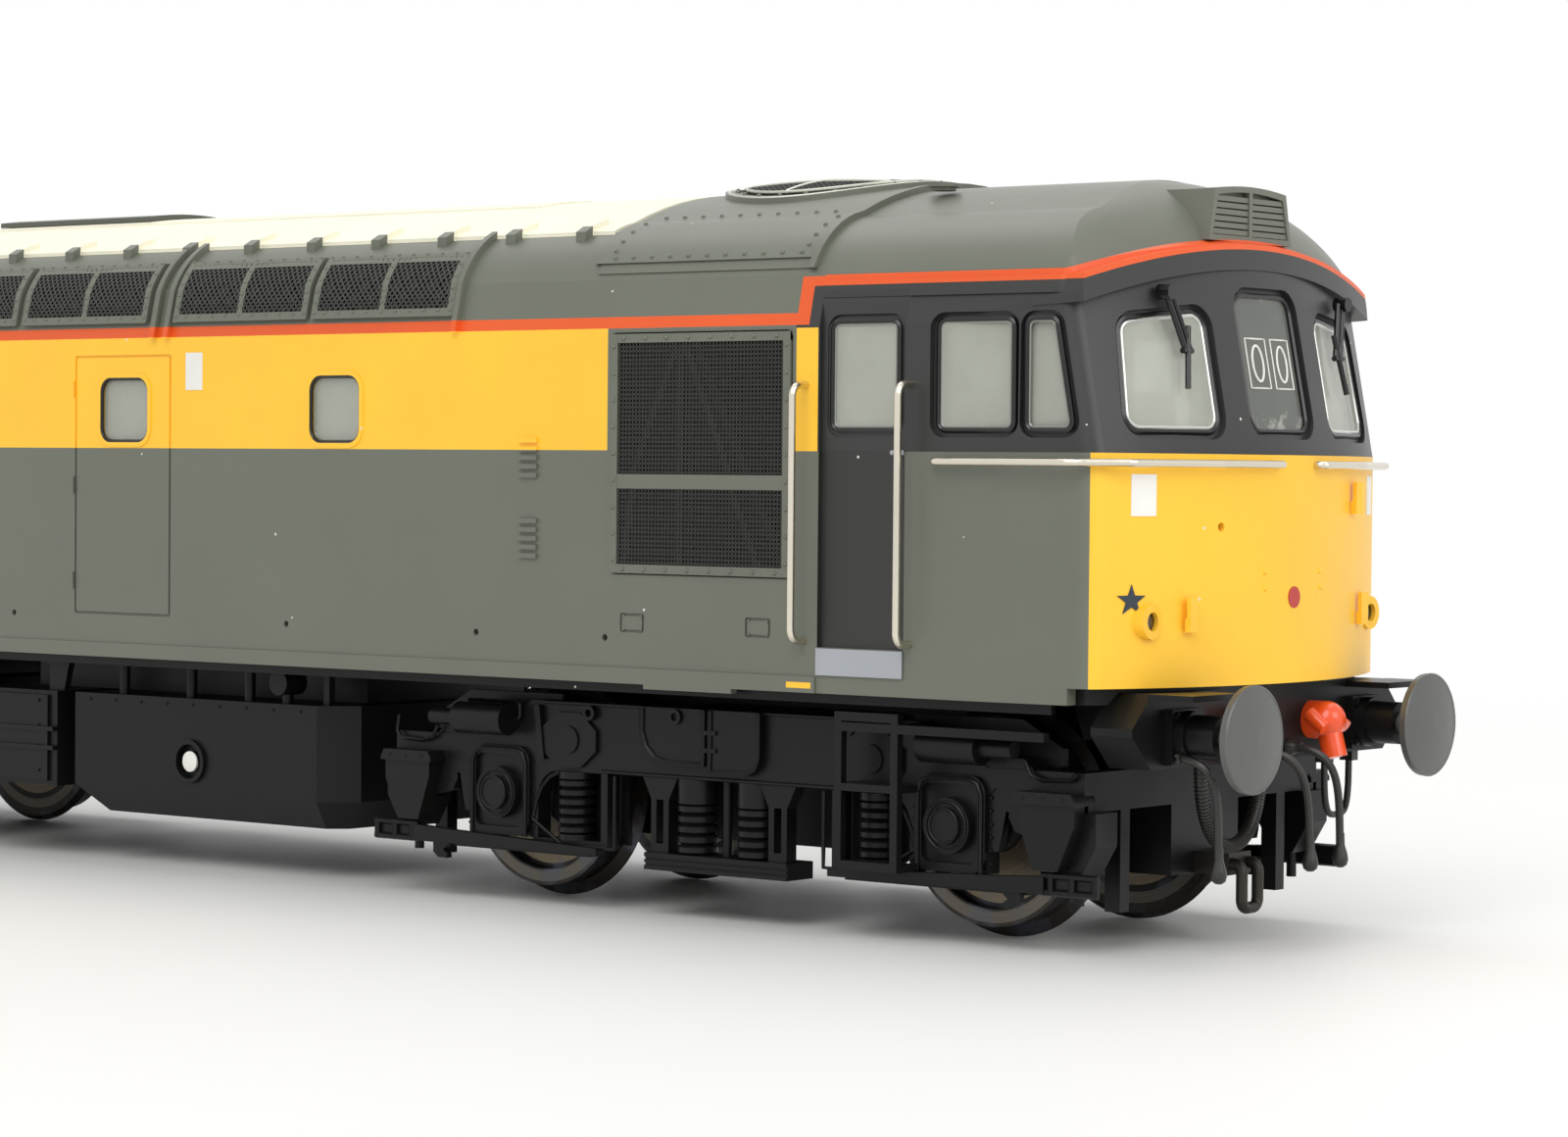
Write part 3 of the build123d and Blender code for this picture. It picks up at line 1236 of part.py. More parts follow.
# Bright fittings of the cab doors: kick plate and handle
kick_plate_z_shares = (0.05, 0.123)
handle_z_share = 0.655
with BuildPart() as door_trim:
    plate_root = body_half_width + seat_gap / 2
    block(door_x, (plate_root, plate_root + kick_plate_thickness),
          [side_z(share) for share in kick_plate_z_shares])
    door_face = body_half_width - door_recess
    handle_x = (door_x[1] - handle_length - engraving_width, door_x[1] - engraving_width)
    handle_z = side_z(handle_z_share)
    rod((handle_x[1], door_face, handle_z), (handle_x[1], door_face + 2 * handle_radius, handle_z),
        handle_radius)
    rod((handle_x[1] + handle_radius, door_face + 2 * handle_radius, handle_z),
        (handle_x[0], door_face + 2 * handle_radius, handle_z), handle_radius)


def lamp_iron(y, foot_z):
    """Lamp iron on the nose: a short foot and the upright blade that a lamp slides on."""
    x = nose_surface_x(max(abs(y - lamp_iron_width / 2), abs(y + lamp_iron_width / 2)))
    root = nose_surface_x(min(abs(y - lamp_iron_width / 2), abs(y + lamp_iron_width / 2))) + seat_gap / 2
    with BuildPart() as iron:
        block((root, x + lamp_iron_reach), (y - lamp_iron_width / 2, y + lamp_iron_width / 2),
              (foot_z, foot_z + lamp_iron_foot))
        block((x + lamp_iron_reach - lamp_iron_thickness, x + lamp_iron_reach),
              (y - lamp_iron_width / 2, y + lamp_iron_width / 2), (foot_z, foot_z + lamp_iron_height))
    return iron.part


(low_iron_share, low_iron_z_share), (high_iron_share, high_iron_z_share) = iron_places
lamp_irons = [lamp_iron(across(low_iron_share), side_z(low_iron_z_share)),
              lamp_iron(-across(low_iron_share), side_z(low_iron_z_share)),
              lamp_iron(across(high_iron_share), side_z(high_iron_z_share))]

# Orange control sockets under the nose: domed body, side lug and a nozzle that points down
socket_share = 0.272
with BuildPart() as control_socket:
    socket_y = across(socket_share)
    socket_z = headstock_top_z - headstock_depth / 2
    socket_front = headstock_x + socket_radius
    rod((headstock_x, socket_y, socket_z), (socket_front, socket_y, socket_z), socket_radius)
    with Locations((socket_front, socket_y, socket_z)):
        Sphere(socket_radius)
    rod((socket_front, socket_y, socket_z),
        (socket_front + socket_radius / 2, socket_y, socket_z - socket_nozzle_length),
        socket_nozzle_radius)
    for side in (-1, 1):
        lug_y = socket_y + side * socket_radius
        rod((socket_front - socket_radius / 2, lug_y, socket_z + socket_lug_radius),
            (socket_front + socket_radius / 2, lug_y, socket_z - socket_lug_radius), socket_lug_radius)

# Brake and air hoses on the headstock: places at the start and the end, as shares of the half width
hose_shares = ((-0.848, -0.63), (-0.147, -0.01), (0.06, 0.20))
hose_drop_shares = (0.4, 0.8)
hose_top_z = headstock_foot_z + headstock_depth / 4
with BuildPart() as end_hoses:
    for start_share, end_share in hose_shares:
        start_y, end_y = across(start_share), across(end_share)
        out_x = headstock_x + hose_reach
        drop = hose_top_z - hose_foot - hose_end_length
        points = [(headstock_x, start_y, hose_top_z), (headstock_x + hose_reach / 2, start_y, hose_top_z),
                  (out_x, (start_y + end_y) / 2, hose_top_z - hose_drop_shares[0] * drop),
                  (out_x, end_y, hose_top_z - hose_drop_shares[1] * drop),
                  (out_x, end_y, hose_foot + hose_end_length)]
        add(bent_wire(points, hose_radius, [hose_bend / 2, hose_bend, hose_bend / 2]))
        rod((out_x, end_y, hose_foot + hose_end_length), (out_x, end_y, hose_foot), hose_end_radius)
        rod((headstock_x, start_y, hose_top_z), (headstock_x + hose_radius, start_y, hose_top_z),
            hose_end_radius)


def hanging_loop(first_share, last_share, radius, reach, sag):
    """Cable that leaves the headstock's underside, hangs in a loop and goes back up into it."""
    x = headstock_x - reach
    low_z = headstock_foot_z - sag
    y = (across(first_share), across(last_share))
    middle = (y[0] + y[1]) / 2
    bend = loop_bend_share * abs(y[1] - y[0])
    points = [(x, y[0], headstock_foot_z), (x, y[0], low_z + sag / 3), (x, middle, low_z),
              (x, y[1], low_z + sag / 3), (x, y[1], headstock_foot_z)]
    return bent_wire(points, radius, bend)


loop_bend_share = 0.2
jumper_shares = (-0.43, -0.02)
cable_shares = (0.52, 0.71)
jumper = hanging_loop(*jumper_shares, jumper_radius, jumper_radius, jumper_sag)
cable = hanging_loop(*cable_shares, cable_radius, headstock_thickness / 2, cable_sag)

# Shares along and up a bogie's side frame, of the half wheelbase and of the plate's height
octagon_z_share = 0.455
octagon_shares = (0.44, 0.38)              # half of its level and of its upright edges, of its half sizes
ring_boss_shares = (0.575, 0.86)
casting_x_shares = ((-0.322, -0.045), (-0.015, 0.198))
casting_z_shares = (0.22, 0.13)
casting_boss_shares = (-0.168, 0.88)
casting_hinge_shares = (0.43, 0.68)
tie_bar_shares = (0.57, 1.317)


def plate_z(share):
    """Height on the bogie's side plate."""
    return bogie_side_foot + share * (bogie_side_top - bogie_side_foot)


def bogie_side_outline():
    """Right half of the bogie's side frame, from its top middle round to its foot middle."""
    guide_in = half_wheelbase - horn_guide_half_width
    guide_out = half_wheelbase + horn_guide_half_width
    cage_in = spring_place - spring_cage_half_width - step_bar
    beam_top = horn_guide_top + step_bar
    arm_foot = beam_top - end_beam_depth / 2
    return [(0, bogie_side_top), (guide_in, bogie_side_top), (guide_out, beam_top),
            (end_beam_place, beam_top),
            (end_beam_place, arm_foot), (guide_out + step_bar, arm_foot), (guide_out, arm_foot - step_bar),
            (guide_out, horn_guide_foot), (guide_in, horn_guide_foot),
            (guide_in - step_bar, spring_cage_foot),
            (cage_in, spring_cage_foot), (cage_in, bogie_side_foot), (0, bogie_side_foot)]


def octagon_points(x, z, half_length, half_height):
    """Eight corners round a middle, its slanting sides about a third of its height."""
    flat, upright = octagon_shares[0] * half_length, octagon_shares[1] * half_height
    corners = ((flat, half_height), (half_length, upright), (half_length, -upright), (flat, -half_height))
    return [(x + u, z + v) for u, v in corners] + [(x - u, z + v) for u, v in reversed(corners)]


inner_y = bogie_side_face_y - bogie_side_thickness
bolster_spring_y = bogie_side_face_y - bolster_spring_inset
cage_top = spring_foot + spring_height + spring_seat_height

# Window round each coil spring of the side frame, its outer upper corner well rounded
with BuildPart() as cage_window:
    window_in = spring_place - spring_cage_half_width
    window_out = half_wheelbase - horn_guide_half_width - step_bar
    window_foot = spring_cage_foot + step_bar
    with BuildSketch(Plane.XZ):
        with BuildLine():
            Polyline((window_in, cage_top), (window_in, window_foot), (window_out, window_foot),
                     (window_out, cage_top - spring_cage_corner))
            ThreePointArc((window_out, cage_top - spring_cage_corner),
                          (window_out - spring_cage_corner * (1 - sqrt(1 / 2)),
                           cage_top - spring_cage_corner * (1 - sqrt(1 / 2))),
                          (window_out - spring_cage_corner, cage_top))
            Line((window_out - spring_cage_corner, cage_top), (window_in, cage_top))
        make_face()
    extrude(amount=-2 * bogie_side_face_y)
    mirror(about=Plane.YZ)

# What stands out on one side frame: horn guides, octagon plates, castings, bosses and the tie bars
with BuildPart() as side_relief:
    for end in (-1, 1):
        guide_x = end * half_wheelbase
        with BuildSketch(Plane.XZ.offset(-bogie_side_face_y)) as guide:
            with Locations((guide_x, (horn_guide_foot + horn_guide_top) / 2)):
                Rectangle(2 * horn_guide_half_width, horn_guide_top - horn_guide_foot)
            fillet(guide.vertices().group_by(Axis.Z)[-1], horn_guide_corner)
            offset(amount=-horn_guide_frame, kind=Kind.INTERSECTION, mode=Mode.SUBTRACT)
        extrude(amount=-horn_guide_rise)
        bar_x = [end * share * half_wheelbase for share in tie_bar_shares]
        block(bar_x, (inner_y, bogie_side_face_y + horn_guide_rise),
              (spring_cage_foot - tie_bar_height, spring_cage_foot))
        octagon_x = end * spring_place
        octagon_z = plate_z(octagon_z_share)
        add(side_plate(octagon_points(octagon_x, octagon_z, octagon_half_length, octagon_half_height),
                       bogie_side_face_y, octagon_rise))
        rod((octagon_x, bogie_side_face_y, octagon_z), (octagon_x, bogie_side_face_y + side_boss_reach,
                                                        octagon_z),
            octagon_boss_radius)
        ring_x, ring_z = end * ring_boss_shares[0] * half_wheelbase, plate_z(ring_boss_shares[1])
        rod((ring_x, bogie_side_face_y, ring_z), (ring_x, bogie_side_face_y + side_boss_reach, ring_z),
            side_boss_radius)
        rod((ring_x, bogie_side_face_y, ring_z), (ring_x, bogie_side_face_y + cut_overrun, ring_z),
            side_boss_radius / 2, Mode.SUBTRACT)
    for turn, (x_shares, foot_share) in enumerate(zip(casting_x_shares, casting_z_shares)):
        near_x, far_x = (share * half_wheelbase for share in (x_shares if turn else reversed(x_shares)))
        foot = plate_z(foot_share)
        out = 1 if far_x > near_x else -1
        corner = casting_corner if out < 0 else casting_corner / 2
        with BuildSketch(Plane.XZ.offset(-bogie_side_face_y)):
            with BuildLine():
                Polyline((far_x, foot + corner), (far_x, bogie_side_top), (near_x, bogie_side_top),
                         (near_x, foot),
                         (far_x - out * corner, foot))
                ThreePointArc((far_x - out * corner, foot),
                              (far_x - out * corner * (1 - sqrt(1 / 2)), foot + corner * (1 - sqrt(1 / 2))),
                              (far_x, foot + corner))
            make_face()
        extrude(amount=-casting_rise)
    boss_x, boss_z = casting_boss_shares[0] * half_wheelbase, plate_z(casting_boss_shares[1])
    boss_y = bogie_side_face_y + casting_rise
    rod((boss_x, bogie_side_face_y, boss_z), (boss_x, boss_y + side_boss_reach / 2, boss_z), side_boss_radius)
    rod((boss_x, boss_y, boss_z), (boss_x, boss_y + cut_overrun, boss_z), side_boss_radius / 2, Mode.SUBTRACT)
    hinge_x = [share * half_wheelbase for share in (casting_x_shares[0][1], casting_x_shares[1][0])]
    for share in casting_hinge_shares:
        hinge_z = plate_z(share)
        block((hinge_x[0] - step_bar, hinge_x[1] + step_bar), (bogie_side_face_y, boss_y + octagon_rise / 2),
              (hinge_z - step_bar / 4, hinge_z + step_bar / 4))

# Bolster suspension of one side: hangers, grooved spring plank, pads and a damper
with BuildPart() as bolster_suspension:
    plank_top = bolster_spring_foot
    pad_foot = bolster_spring_foot + bolster_spring_height
    block((-spring_plank_half_length, spring_plank_half_length),
          (bolster_spring_y - spring_plank_half_width, bolster_spring_y + spring_plank_half_width),
          (plank_top - spring_plank_depth, plank_top))
    for end in (-1, 1):
        inner, outer = end * (hanger_place - hanger_width / 2), end * (hanger_place + hanger_width / 2)
        knee_z = bogie_side_foot - 2 * hanger_flare
        outline = [(inner, plank_top - spring_plank_depth / 2), (outer, plank_top - spring_plank_depth / 2),
                   (outer, knee_z), (outer + end * hanger_flare, bogie_side_foot),
                   (inner - end * hanger_flare, bogie_side_foot), (inner, knee_z)]
        slot = box_corners((end * (hanger_place - hanger_slot / 2), end * (hanger_place + hanger_slot / 2)),
                           (plank_top + hanger_slot, knee_z))
        add(side_plate(outline, bolster_spring_y, hanger_thickness, [slot]))
        rod((end * bolster_spring_place, bolster_spring_y, pad_foot),
            (end * bolster_spring_place, bolster_spring_y, bogie_side_foot), bolster_spring_radius)
    rod((0, bolster_spring_y, plank_top), (0, bolster_spring_y, bogie_side_foot), damper_radius)
    for share in (1 / 3, 2 / 3):
        groove_z = plank_top - share * spring_plank_depth
        groove_y = bolster_spring_y + spring_plank_half_width
        block((-spring_plank_half_length, spring_plank_half_length),
              (groove_y - engraving_depth, groove_y + cut_overrun),
              (groove_z - engraving_width / 2, groove_z + engraving_width / 2), Mode.SUBTRACT)

# Bogie frame: two side frames, bolster with its pivot, centre beam with the axle bores, end beams
with BuildPart() as bogie_side:
    half_outline = bogie_side_outline()
    add(side_plate(half_outline + [(-u, z) for u, z in reversed(half_outline[1:-1])], inner_y,
                   bogie_side_thickness))
    add(cage_window.part, mode=Mode.SUBTRACT)
    add(side_relief.part)
    add(bolster_suspension.part)
    for end in (-1, 1):
        seat_y = bogie_side_face_y - bogie_side_thickness / 2
        rod((end * spring_place, seat_y, cage_top - spring_seat_height),
            (end * spring_place, seat_y, cage_top),
            spring_radius)
        rod((end * spring_place, seat_y, window_foot), (end * spring_place, seat_y, spring_foot),
            spring_radius)

beam_top_z = horn_guide_top + step_bar
with BuildPart() as bogie_frame:
    for side_frame in both_sides(bogie_side.part):
        add(side_frame)
    block((-bolster_half_length, bolster_half_length), (-inner_y, inner_y), (bogie_side_foot, bolster_top))
    block((-end_beam_place, end_beam_place), (-centre_beam_half_width, centre_beam_half_width),
          (centre_beam_foot, centre_beam_top))
    for end in (-1, 1):
        beam_x = (end * end_beam_place, end * (end_beam_place + end_beam_thickness))
        block(beam_x, (-bogie_side_face_y, bogie_side_face_y), (beam_top_z - end_beam_depth, beam_top_z))
        block(beam_x, (-centre_beam_half_width, centre_beam_half_width), (centre_beam_foot, horn_guide_top))
        rod((end * half_wheelbase, -inner_y / 2, axle_z), (end * half_wheelbase, inner_y / 2, axle_z),
            axle_radius + shaft_gap, Mode.SUBTRACT)
    rod((0, 0, bolster_top), (0, 0, floor_top_z - seat_gap), pivot_radius)

with BuildPart() as bogie_springs:
    for side in (-1, 1):
        for end in (-1, 1):
            add(coil_spring(end * spring_place, side * (bogie_side_face_y - bogie_side_thickness / 2),
                            spring_foot,
                            spring_radius, spring_height, spring_wire))
            add(coil_spring(end * bolster_spring_place, side * bolster_spring_y, bolster_spring_foot,
                            bolster_spring_radius, bolster_spring_height, spring_wire))

# Axlebox covers: a round cover with a smaller cap
with BuildPart() as axleboxes:
    for side in (-1, 1):
        for end in (-1, 1):
            cap_root = side * (bogie_side_face_y + axlebox_reach)
            rod((end * half_wheelbase, side * bogie_side_face_y, axle_z),
                (end * half_wheelbase, cap_root, axle_z),
                axlebox_radius)
            rod((end * half_wheelbase, cap_root, axle_z),
                (end * half_wheelbase, cap_root + side * axlebox_cap_reach, axle_z), axlebox_cap_radius)

# Brake cylinders with their push rods, sandboxes, guard irons and brake shoes
with BuildPart() as brake_gear:
    beam_foot = beam_top_z - end_beam_depth
    for side in (-1, 1):
        cylinder_y = side * (bogie_side_face_y + brake_cylinder_radius)
        cylinder_z = bogie_side_top - brake_cylinder_radius - step_bar / 2
        sandbox_y = (side * (bogie_side_face_y - sandbox_width), side * bogie_side_face_y)
        for end in (-1, 1):
            start_x = end * (half_wheelbase - brake_cylinder_length / 3)
            rod((start_x, cylinder_y, cylinder_z), (start_x + end * brake_cylinder_length, cylinder_y,
                                                    cylinder_z),
                brake_cylinder_radius)
            rod((start_x + end * brake_cylinder_length, cylinder_y, cylinder_z),
                (start_x + end * (brake_cylinder_length + brake_rod_length), cylinder_y, cylinder_z),
                brake_rod_radius)
            half_box = sandbox_length / 2
            low_half = half_box - sandbox_taper
            outline = [(end * (end_beam_place - half_box), beam_foot),
                       (end * (end_beam_place + half_box), beam_foot),
                       (end * (end_beam_place + half_box), beam_foot - sandbox_depth / 2),
                       (end * (end_beam_place + low_half), beam_foot - sandbox_depth),
                       (end * (end_beam_place - low_half), beam_foot - sandbox_depth),
                       (end * (end_beam_place - half_box), beam_foot - sandbox_depth / 2)]
            add(side_plate(outline, sandbox_y[0], sandbox_y[1] - sandbox_y[0]))
            pipe_y = (sandbox_y[0] + sandbox_y[1]) / 2
            rod((end * end_beam_place, pipe_y, beam_foot - sandbox_depth),
                (end * end_beam_place, pipe_y, guard_foot + step_bar), sand_pipe_radius)
            guard_x = (end * end_beam_place, end * (end_beam_place + end_beam_thickness))
            block(guard_x, (side * (guard_place - guard_width / 2), side * (guard_place + guard_width / 2)),
                  (guard_foot, beam_foot))

# Brake shoes beside the outer wheels' treads, hung from the end beams
with BuildPart() as brake_shoe:
    shoe_inner = tread_radius + brake_shoe_gap
    shoe_y = wheel_inner_y + tyre_width / 2
    with BuildSketch(Plane.XZ.offset(-shoe_y)):
        with Locations((half_wheelbase, axle_z)):
            Circle(shoe_inner + brake_shoe_depth)
            Circle(shoe_inner, mode=Mode.SUBTRACT)
        with Locations((half_wheelbase + shoe_inner + brake_shoe_depth, axle_z)):
            Rectangle(2 * brake_shoe_depth, brake_shoe_height, mode=Mode.INTERSECT)
    extrude(amount=-brake_shoe_width)
    hanger_x = half_wheelbase + shoe_inner + brake_shoe_depth / 4
    block((hanger_x, end_beam_place), (shoe_y, shoe_y + brake_shoe_width),
          (axle_z + brake_shoe_height / 3, beam_foot + brake_shoe_depth))
brake_shoes = [shoe for piece in both_sides(brake_shoe.part) for shoe in ends([piece])]

# Cab steps on the bogie's outer corners: open frame, two treads, arms and the duct beside them
with BuildPart() as cab_steps:
    tread_y = bogie_side_face_y + casting_rise + seat_gap
    frame_x = (step_frame_place - step_frame_width / 2, step_frame_place + step_frame_width / 2)
    arm_top = bogie_side_top - seat_gap
    for side in (-1, 1):
        face_y = (side * (step_face_y - step_bar), side * step_face_y)
        block(frame_x, face_y, (step_foot, step_frame_top))
        block((frame_x[0] + step_bar, frame_x[1] - step_bar),
              (side * (step_face_y - 2 * step_bar), side * (step_face_y + step_bar)),
              (step_foot + step_bar, step_frame_top - step_bar), Mode.SUBTRACT)
        for tread_z in (step_foot, (step_foot + step_frame_top) / 2):
            block(frame_x, (side * tread_y, side * step_face_y), (tread_z, tread_z + step_tread_thickness))
        block((frame_x[0], end_beam_place - seat_gap), face_y, (arm_top - step_bar, arm_top))
        for arm_x in (frame_x[0], frame_x[1] - step_bar):
            block((arm_x, arm_x + step_bar), (side * bogie_side_face_y, side * step_face_y),
                  (arm_top - step_bar, arm_top))

# Coupling: a bar from the end beam, its pocket and the hanging shackle
with BuildPart() as coupling:
    bar_front = end_beam_place + end_beam_thickness
    bar_z = (centre_beam_foot, centre_beam_foot + coupling_bar_height)
    pocket_front = coupling_reach - 2 * coupling_wire
    half_loop = coupling_width / 2 - coupling_wire
    block((bar_front, pocket_front), (-coupling_width / 2, coupling_width / 2), bar_z)
    eye_z = bar_z[0] + coupling_bar_height / 2
    foot_z = bar_z[0] + coupling_wire - coupling_drop
    shackle = [(pocket_front - coupling_wire, -half_loop, eye_z), (coupling_reach, -half_loop, eye_z),
               (coupling_reach, -half_loop, foot_z), (coupling_reach, half_loop, foot_z),
               (coupling_reach, half_loop, eye_z), (pocket_front - coupling_wire, half_loop, eye_z)]
    add(bent_wire(shackle, coupling_wire, coupling_wire * 3 / 2))

# Wheelset: two flanged wheels pressed on one axle
with BuildPart() as wheelset:
    web_radius = tread_radius - tyre_rim_depth
    web_y = wheel_outer_y - wheel_web_recess
    # Columns: radius, distance from the middle of the axle
    half_profile = [(0, 0), (axle_radius, 0), (axle_radius, wheel_inner_y),
                    (flange_radius - flange_depth / 2, wheel_inner_y),
                    (flange_radius, wheel_inner_y + flange_width / 2),
                    (tread_radius, wheel_inner_y + flange_width), (tread_radius, wheel_outer_y),
                    (web_radius, wheel_outer_y), (web_radius, web_y), (wheel_hub_radius, web_y),
                    (wheel_hub_radius, wheel_outer_y), (0, wheel_outer_y)]
    with BuildSketch(Plane.YZ):
        with BuildLine():
            Polyline(*[(y, r) for r, y in half_profile], close=True)
        make_face()
    revolve(axis=Axis.Y)
    mirror(about=Plane.XZ)


def place(piece, x, turn):
    """Copy of a bogie or axle piece turned about its own middle and set at its place along the locomotive."""
    return Pos(x, 0, 0) * Rot(0, 0, turn) * piece


# Pieces that ride on the body
for end, turn in (("front", 0), ("rear", 180)):
    for name, piece in {"cab_shell": cab_shell.part, "cab_glazing": cab_glazing.part,
                        "cab_interior": cab_interior.part}.items():
        write(f"{name}_{end}", Rot(0, 0, turn) * piece)
    shared(f"handrails_{end}", [Rot(0, 0, turn) * rail for rail in both_sides(handrails.part)])
    shared(f"end_hoses_{end}", [Rot(0, 0, turn) * piece for piece in (end_hoses.part, jumper, cable)])

grille_row = [Pos(side_x(share), 0, 0) * cantrail_grille.part for share in cantrail_grille_shares]
write("body_shell", body_shell.part)
shared("cantrail_grilles_left", grille_row)
shared("cantrail_grilles_right", [mirror(grille, about=Plane.XZ) for grille in grille_row])
shared("radiator_grilles", both_sides(radiator_grille.part))
write("fan_grille", fan_grille)
write("roof_grille", roof_grille)
shared("cab_roof_vents", ends([cab_roof_vent.part]))
write("body_glazing", body_glazing.part)
shared("headcode_panels", ends([headcode_panel.part]))
write("underframe", underframe.part)
write("chassis_block", chassis_block.part)
write("buffers", buffers.part)
write("fuel_tank", fuel_tank.part)
write("battery_boxes", battery_boxes.part)
write("underfloor_pipes", underfloor_pipes.part)
shared("wipers", ends(both_sides(wiper.part)))
shared("cab_door_trim", ends(both_sides(door_trim.part)))
shared("lamp_irons", ends(lamp_irons))
shared("control_sockets", ends(both_sides(control_socket.part)))

# Bogies and wheelsets
bogie_pieces = {"bogie_frame": [bogie_frame.part], "bogie_springs": [bogie_springs.part],
                "axleboxes": [axleboxes.part], "brake_gear": [brake_gear.part, *brake_shoes],
                "cab_steps": [cab_steps.part], "coupling": [coupling.part]}
for end, x, turn in (("front", bogie_x, 0), ("rear", -bogie_x, 180)):
    for name, pieces in bogie_pieces.items():
        shared(f"{name}_{end}", [place(piece, x, turn) for piece in pieces])
axle_places = (bogie_x + half_wheelbase, bogie_x - half_wheelbase, -bogie_x + half_wheelbase,
               -bogie_x - half_wheelbase)
for number, x in enumerate(axle_places, 1):
    write(f"wheelset_{number}", Pos(x, 0, axle_z) * wheelset.part)
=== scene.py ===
"""Looks of a scale model of a double-ended diesel locomotive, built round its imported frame.

Shapes are worked out in millimetres and put into the meshes in metres. +X is along the locomotive towards its
front cab, +Y to its left, +Z up from the flanges' foot. New pieces are worked out for the front end and the
right side, where y is negative, and are copied to the other side and end.
"""
from math import cos, radians, sin, sqrt, tan

import bmesh
import bpy
import numpy as np
from mathutils import Matrix, Vector


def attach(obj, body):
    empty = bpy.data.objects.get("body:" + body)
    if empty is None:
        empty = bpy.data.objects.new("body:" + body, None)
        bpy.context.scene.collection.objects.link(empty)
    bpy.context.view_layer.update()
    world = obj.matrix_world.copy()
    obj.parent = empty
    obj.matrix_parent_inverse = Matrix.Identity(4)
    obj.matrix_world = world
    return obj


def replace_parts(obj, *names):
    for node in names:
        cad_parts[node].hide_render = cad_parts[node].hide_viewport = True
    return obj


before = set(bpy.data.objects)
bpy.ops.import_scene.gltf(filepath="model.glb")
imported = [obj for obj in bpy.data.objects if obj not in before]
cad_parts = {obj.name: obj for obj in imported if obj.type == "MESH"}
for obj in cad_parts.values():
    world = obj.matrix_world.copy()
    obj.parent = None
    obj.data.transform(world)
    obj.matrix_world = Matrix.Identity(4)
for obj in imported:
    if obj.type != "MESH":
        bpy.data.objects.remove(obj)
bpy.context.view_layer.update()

MM = 0.001

# The photograph's camera, fitted to the model's own sizes
CAMERA_PLACE = (235.35 * MM, -232.44 * MM, 31.44 * MM)
CAMERA_AZIMUTH = 38.23
CAMERA_ELEVATION = 1.37
CAMERA_ROLL = 0.50
FOCAL_PIXELS = 4115.86
FRAME_PIXELS = 1600
SENSOR_WIDTH = 36.0

# Soft square lamps: name, place, target, size and power
LAMPS = (("key_lamp", (0.30, -0.75, 0.75), (0.02, 0, 0.03), 0.7, 4.9),
         ("nose_lamp", (0.85, -0.05, 0.45), (0.06, 0, 0.03), 0.5, 2.3),
         ("top_lamp", (-0.2, 0.25, 0.95), (0, 0, 0.04), 0.9, 3.6))
SKY_LIGHT = 0.55
FLOOR_HALF = 1.6
FLOOR_FADE = (105.0, 300.0)

# Body and cab
HALF_WIDTH = 18.4
SHELL_WALL = 1.0
SEAM_X = 69.5
SILL_Z = 16.6
SIDE_HEIGHT = 24.7
WAIST_Z = 32.85
CANTRAIL_Z = 41.35
LEAN_FOOT_Z = 41.3
LEAN_AWAY = (1.0, 0.22)         # outwards from the leaning side, across and up
EAVES = (17.6, 44.8)            # across and up, as are the next three
SHOULDER = (15.9, 47.15)
CROWN_FOOT = (12.2, 48.95)
ROOF_TOP = (0.0, 51.5)
NOSE_MIDDLE_X = 95.7
NOSE_BOW = 37.9
SCREEN_BOW = 43.0
SCREEN_LEAN = 10.9
WAIST_LEDGE = 0.55
PAN_DEPTH = 0.42
GLASS_DEPTH = 0.36
PANEL_DEPTH = 0.50
PANEL_MIDDLE_Z = 39.4
FROST_REACH = (2.6, 5.2)        # from the panel's middle height
DOOR_RECESS = 0.35

# Painted bands
ABOVE_ALL = 60.0
STRIPE_TOP_Z = 42.15
CAB_STRIPE_Z = 44.3
STRIPE_HALF = 0.33
STRIPE_JOG_X = (67.6, 68.7)
BROW_RISE = 2.6
BROW_HALF = 17.9
BAND_END_X = 50.9
STRIP_X = (67.65, 69.6)
STEP_MARK_X = (67.1, 69.2)
STEP_MARK_Z = (16.9, 17.3)
NOSE_PAINT_X = 91.05
NOSE_FOOT_Z = 17.65
DOOR_X = (69.6, 76.8)
DOOR_FOOT_Z = 19.7
CREAM_FOOT_Z = 47.0
CREAM_EDGE_Y = 14.4
CREAM_END_X = 48.0

# Grilles
RADIATOR_X = (51.2, 67.35)
RADIATOR_Z = (24.2, 41.05)
RADIATOR_RAIL_Z = 30.7
RADIATOR_RAIL_HALF = 0.5
RADIATOR_FRAME = 0.72
FAN_X = 58.0
FAN_RADIUS = 8.15
FAN_INNER = FAN_RADIUS - 0.7
FAN_RISE, FAN_FALL = 0.95, 0.28
FAN_PITCH = 0.5
CANTRAIL_GRILLES_X = (-33.05, -18.17, -3.15, 14.15, 29.0)
CANTRAIL_GRILLE_LENGTH = 14.3
CANTRAIL_GRILLE_Z = (42.54, 47.15)
GRILLE_FRAME = 0.6
ROOF_GRILLE_X = (-27.9, -10.6)
ROOF_GRILLE_Y = 4.4

# Bogies and buffers
BOGIE_X = 58.0
HALF_WHEELBASE = 20.2
AXLE_Z = 8.0
WEB_RADII, GROOVE_RADII, TREAD_RADII, FLANGE_RADII = (2.2, 5.6), (5.6, 6.1), (6.1, 6.9), (6.9, 9.0)
BOGIE_FACE_Y = 14.6
TANK_FACE_Y = 14.5
BUFFER_Y = 11.4
BUFFER_Z = 14.55
BUFFER_FACE_X = 100.0
HEADSTOCK_X = 94.0

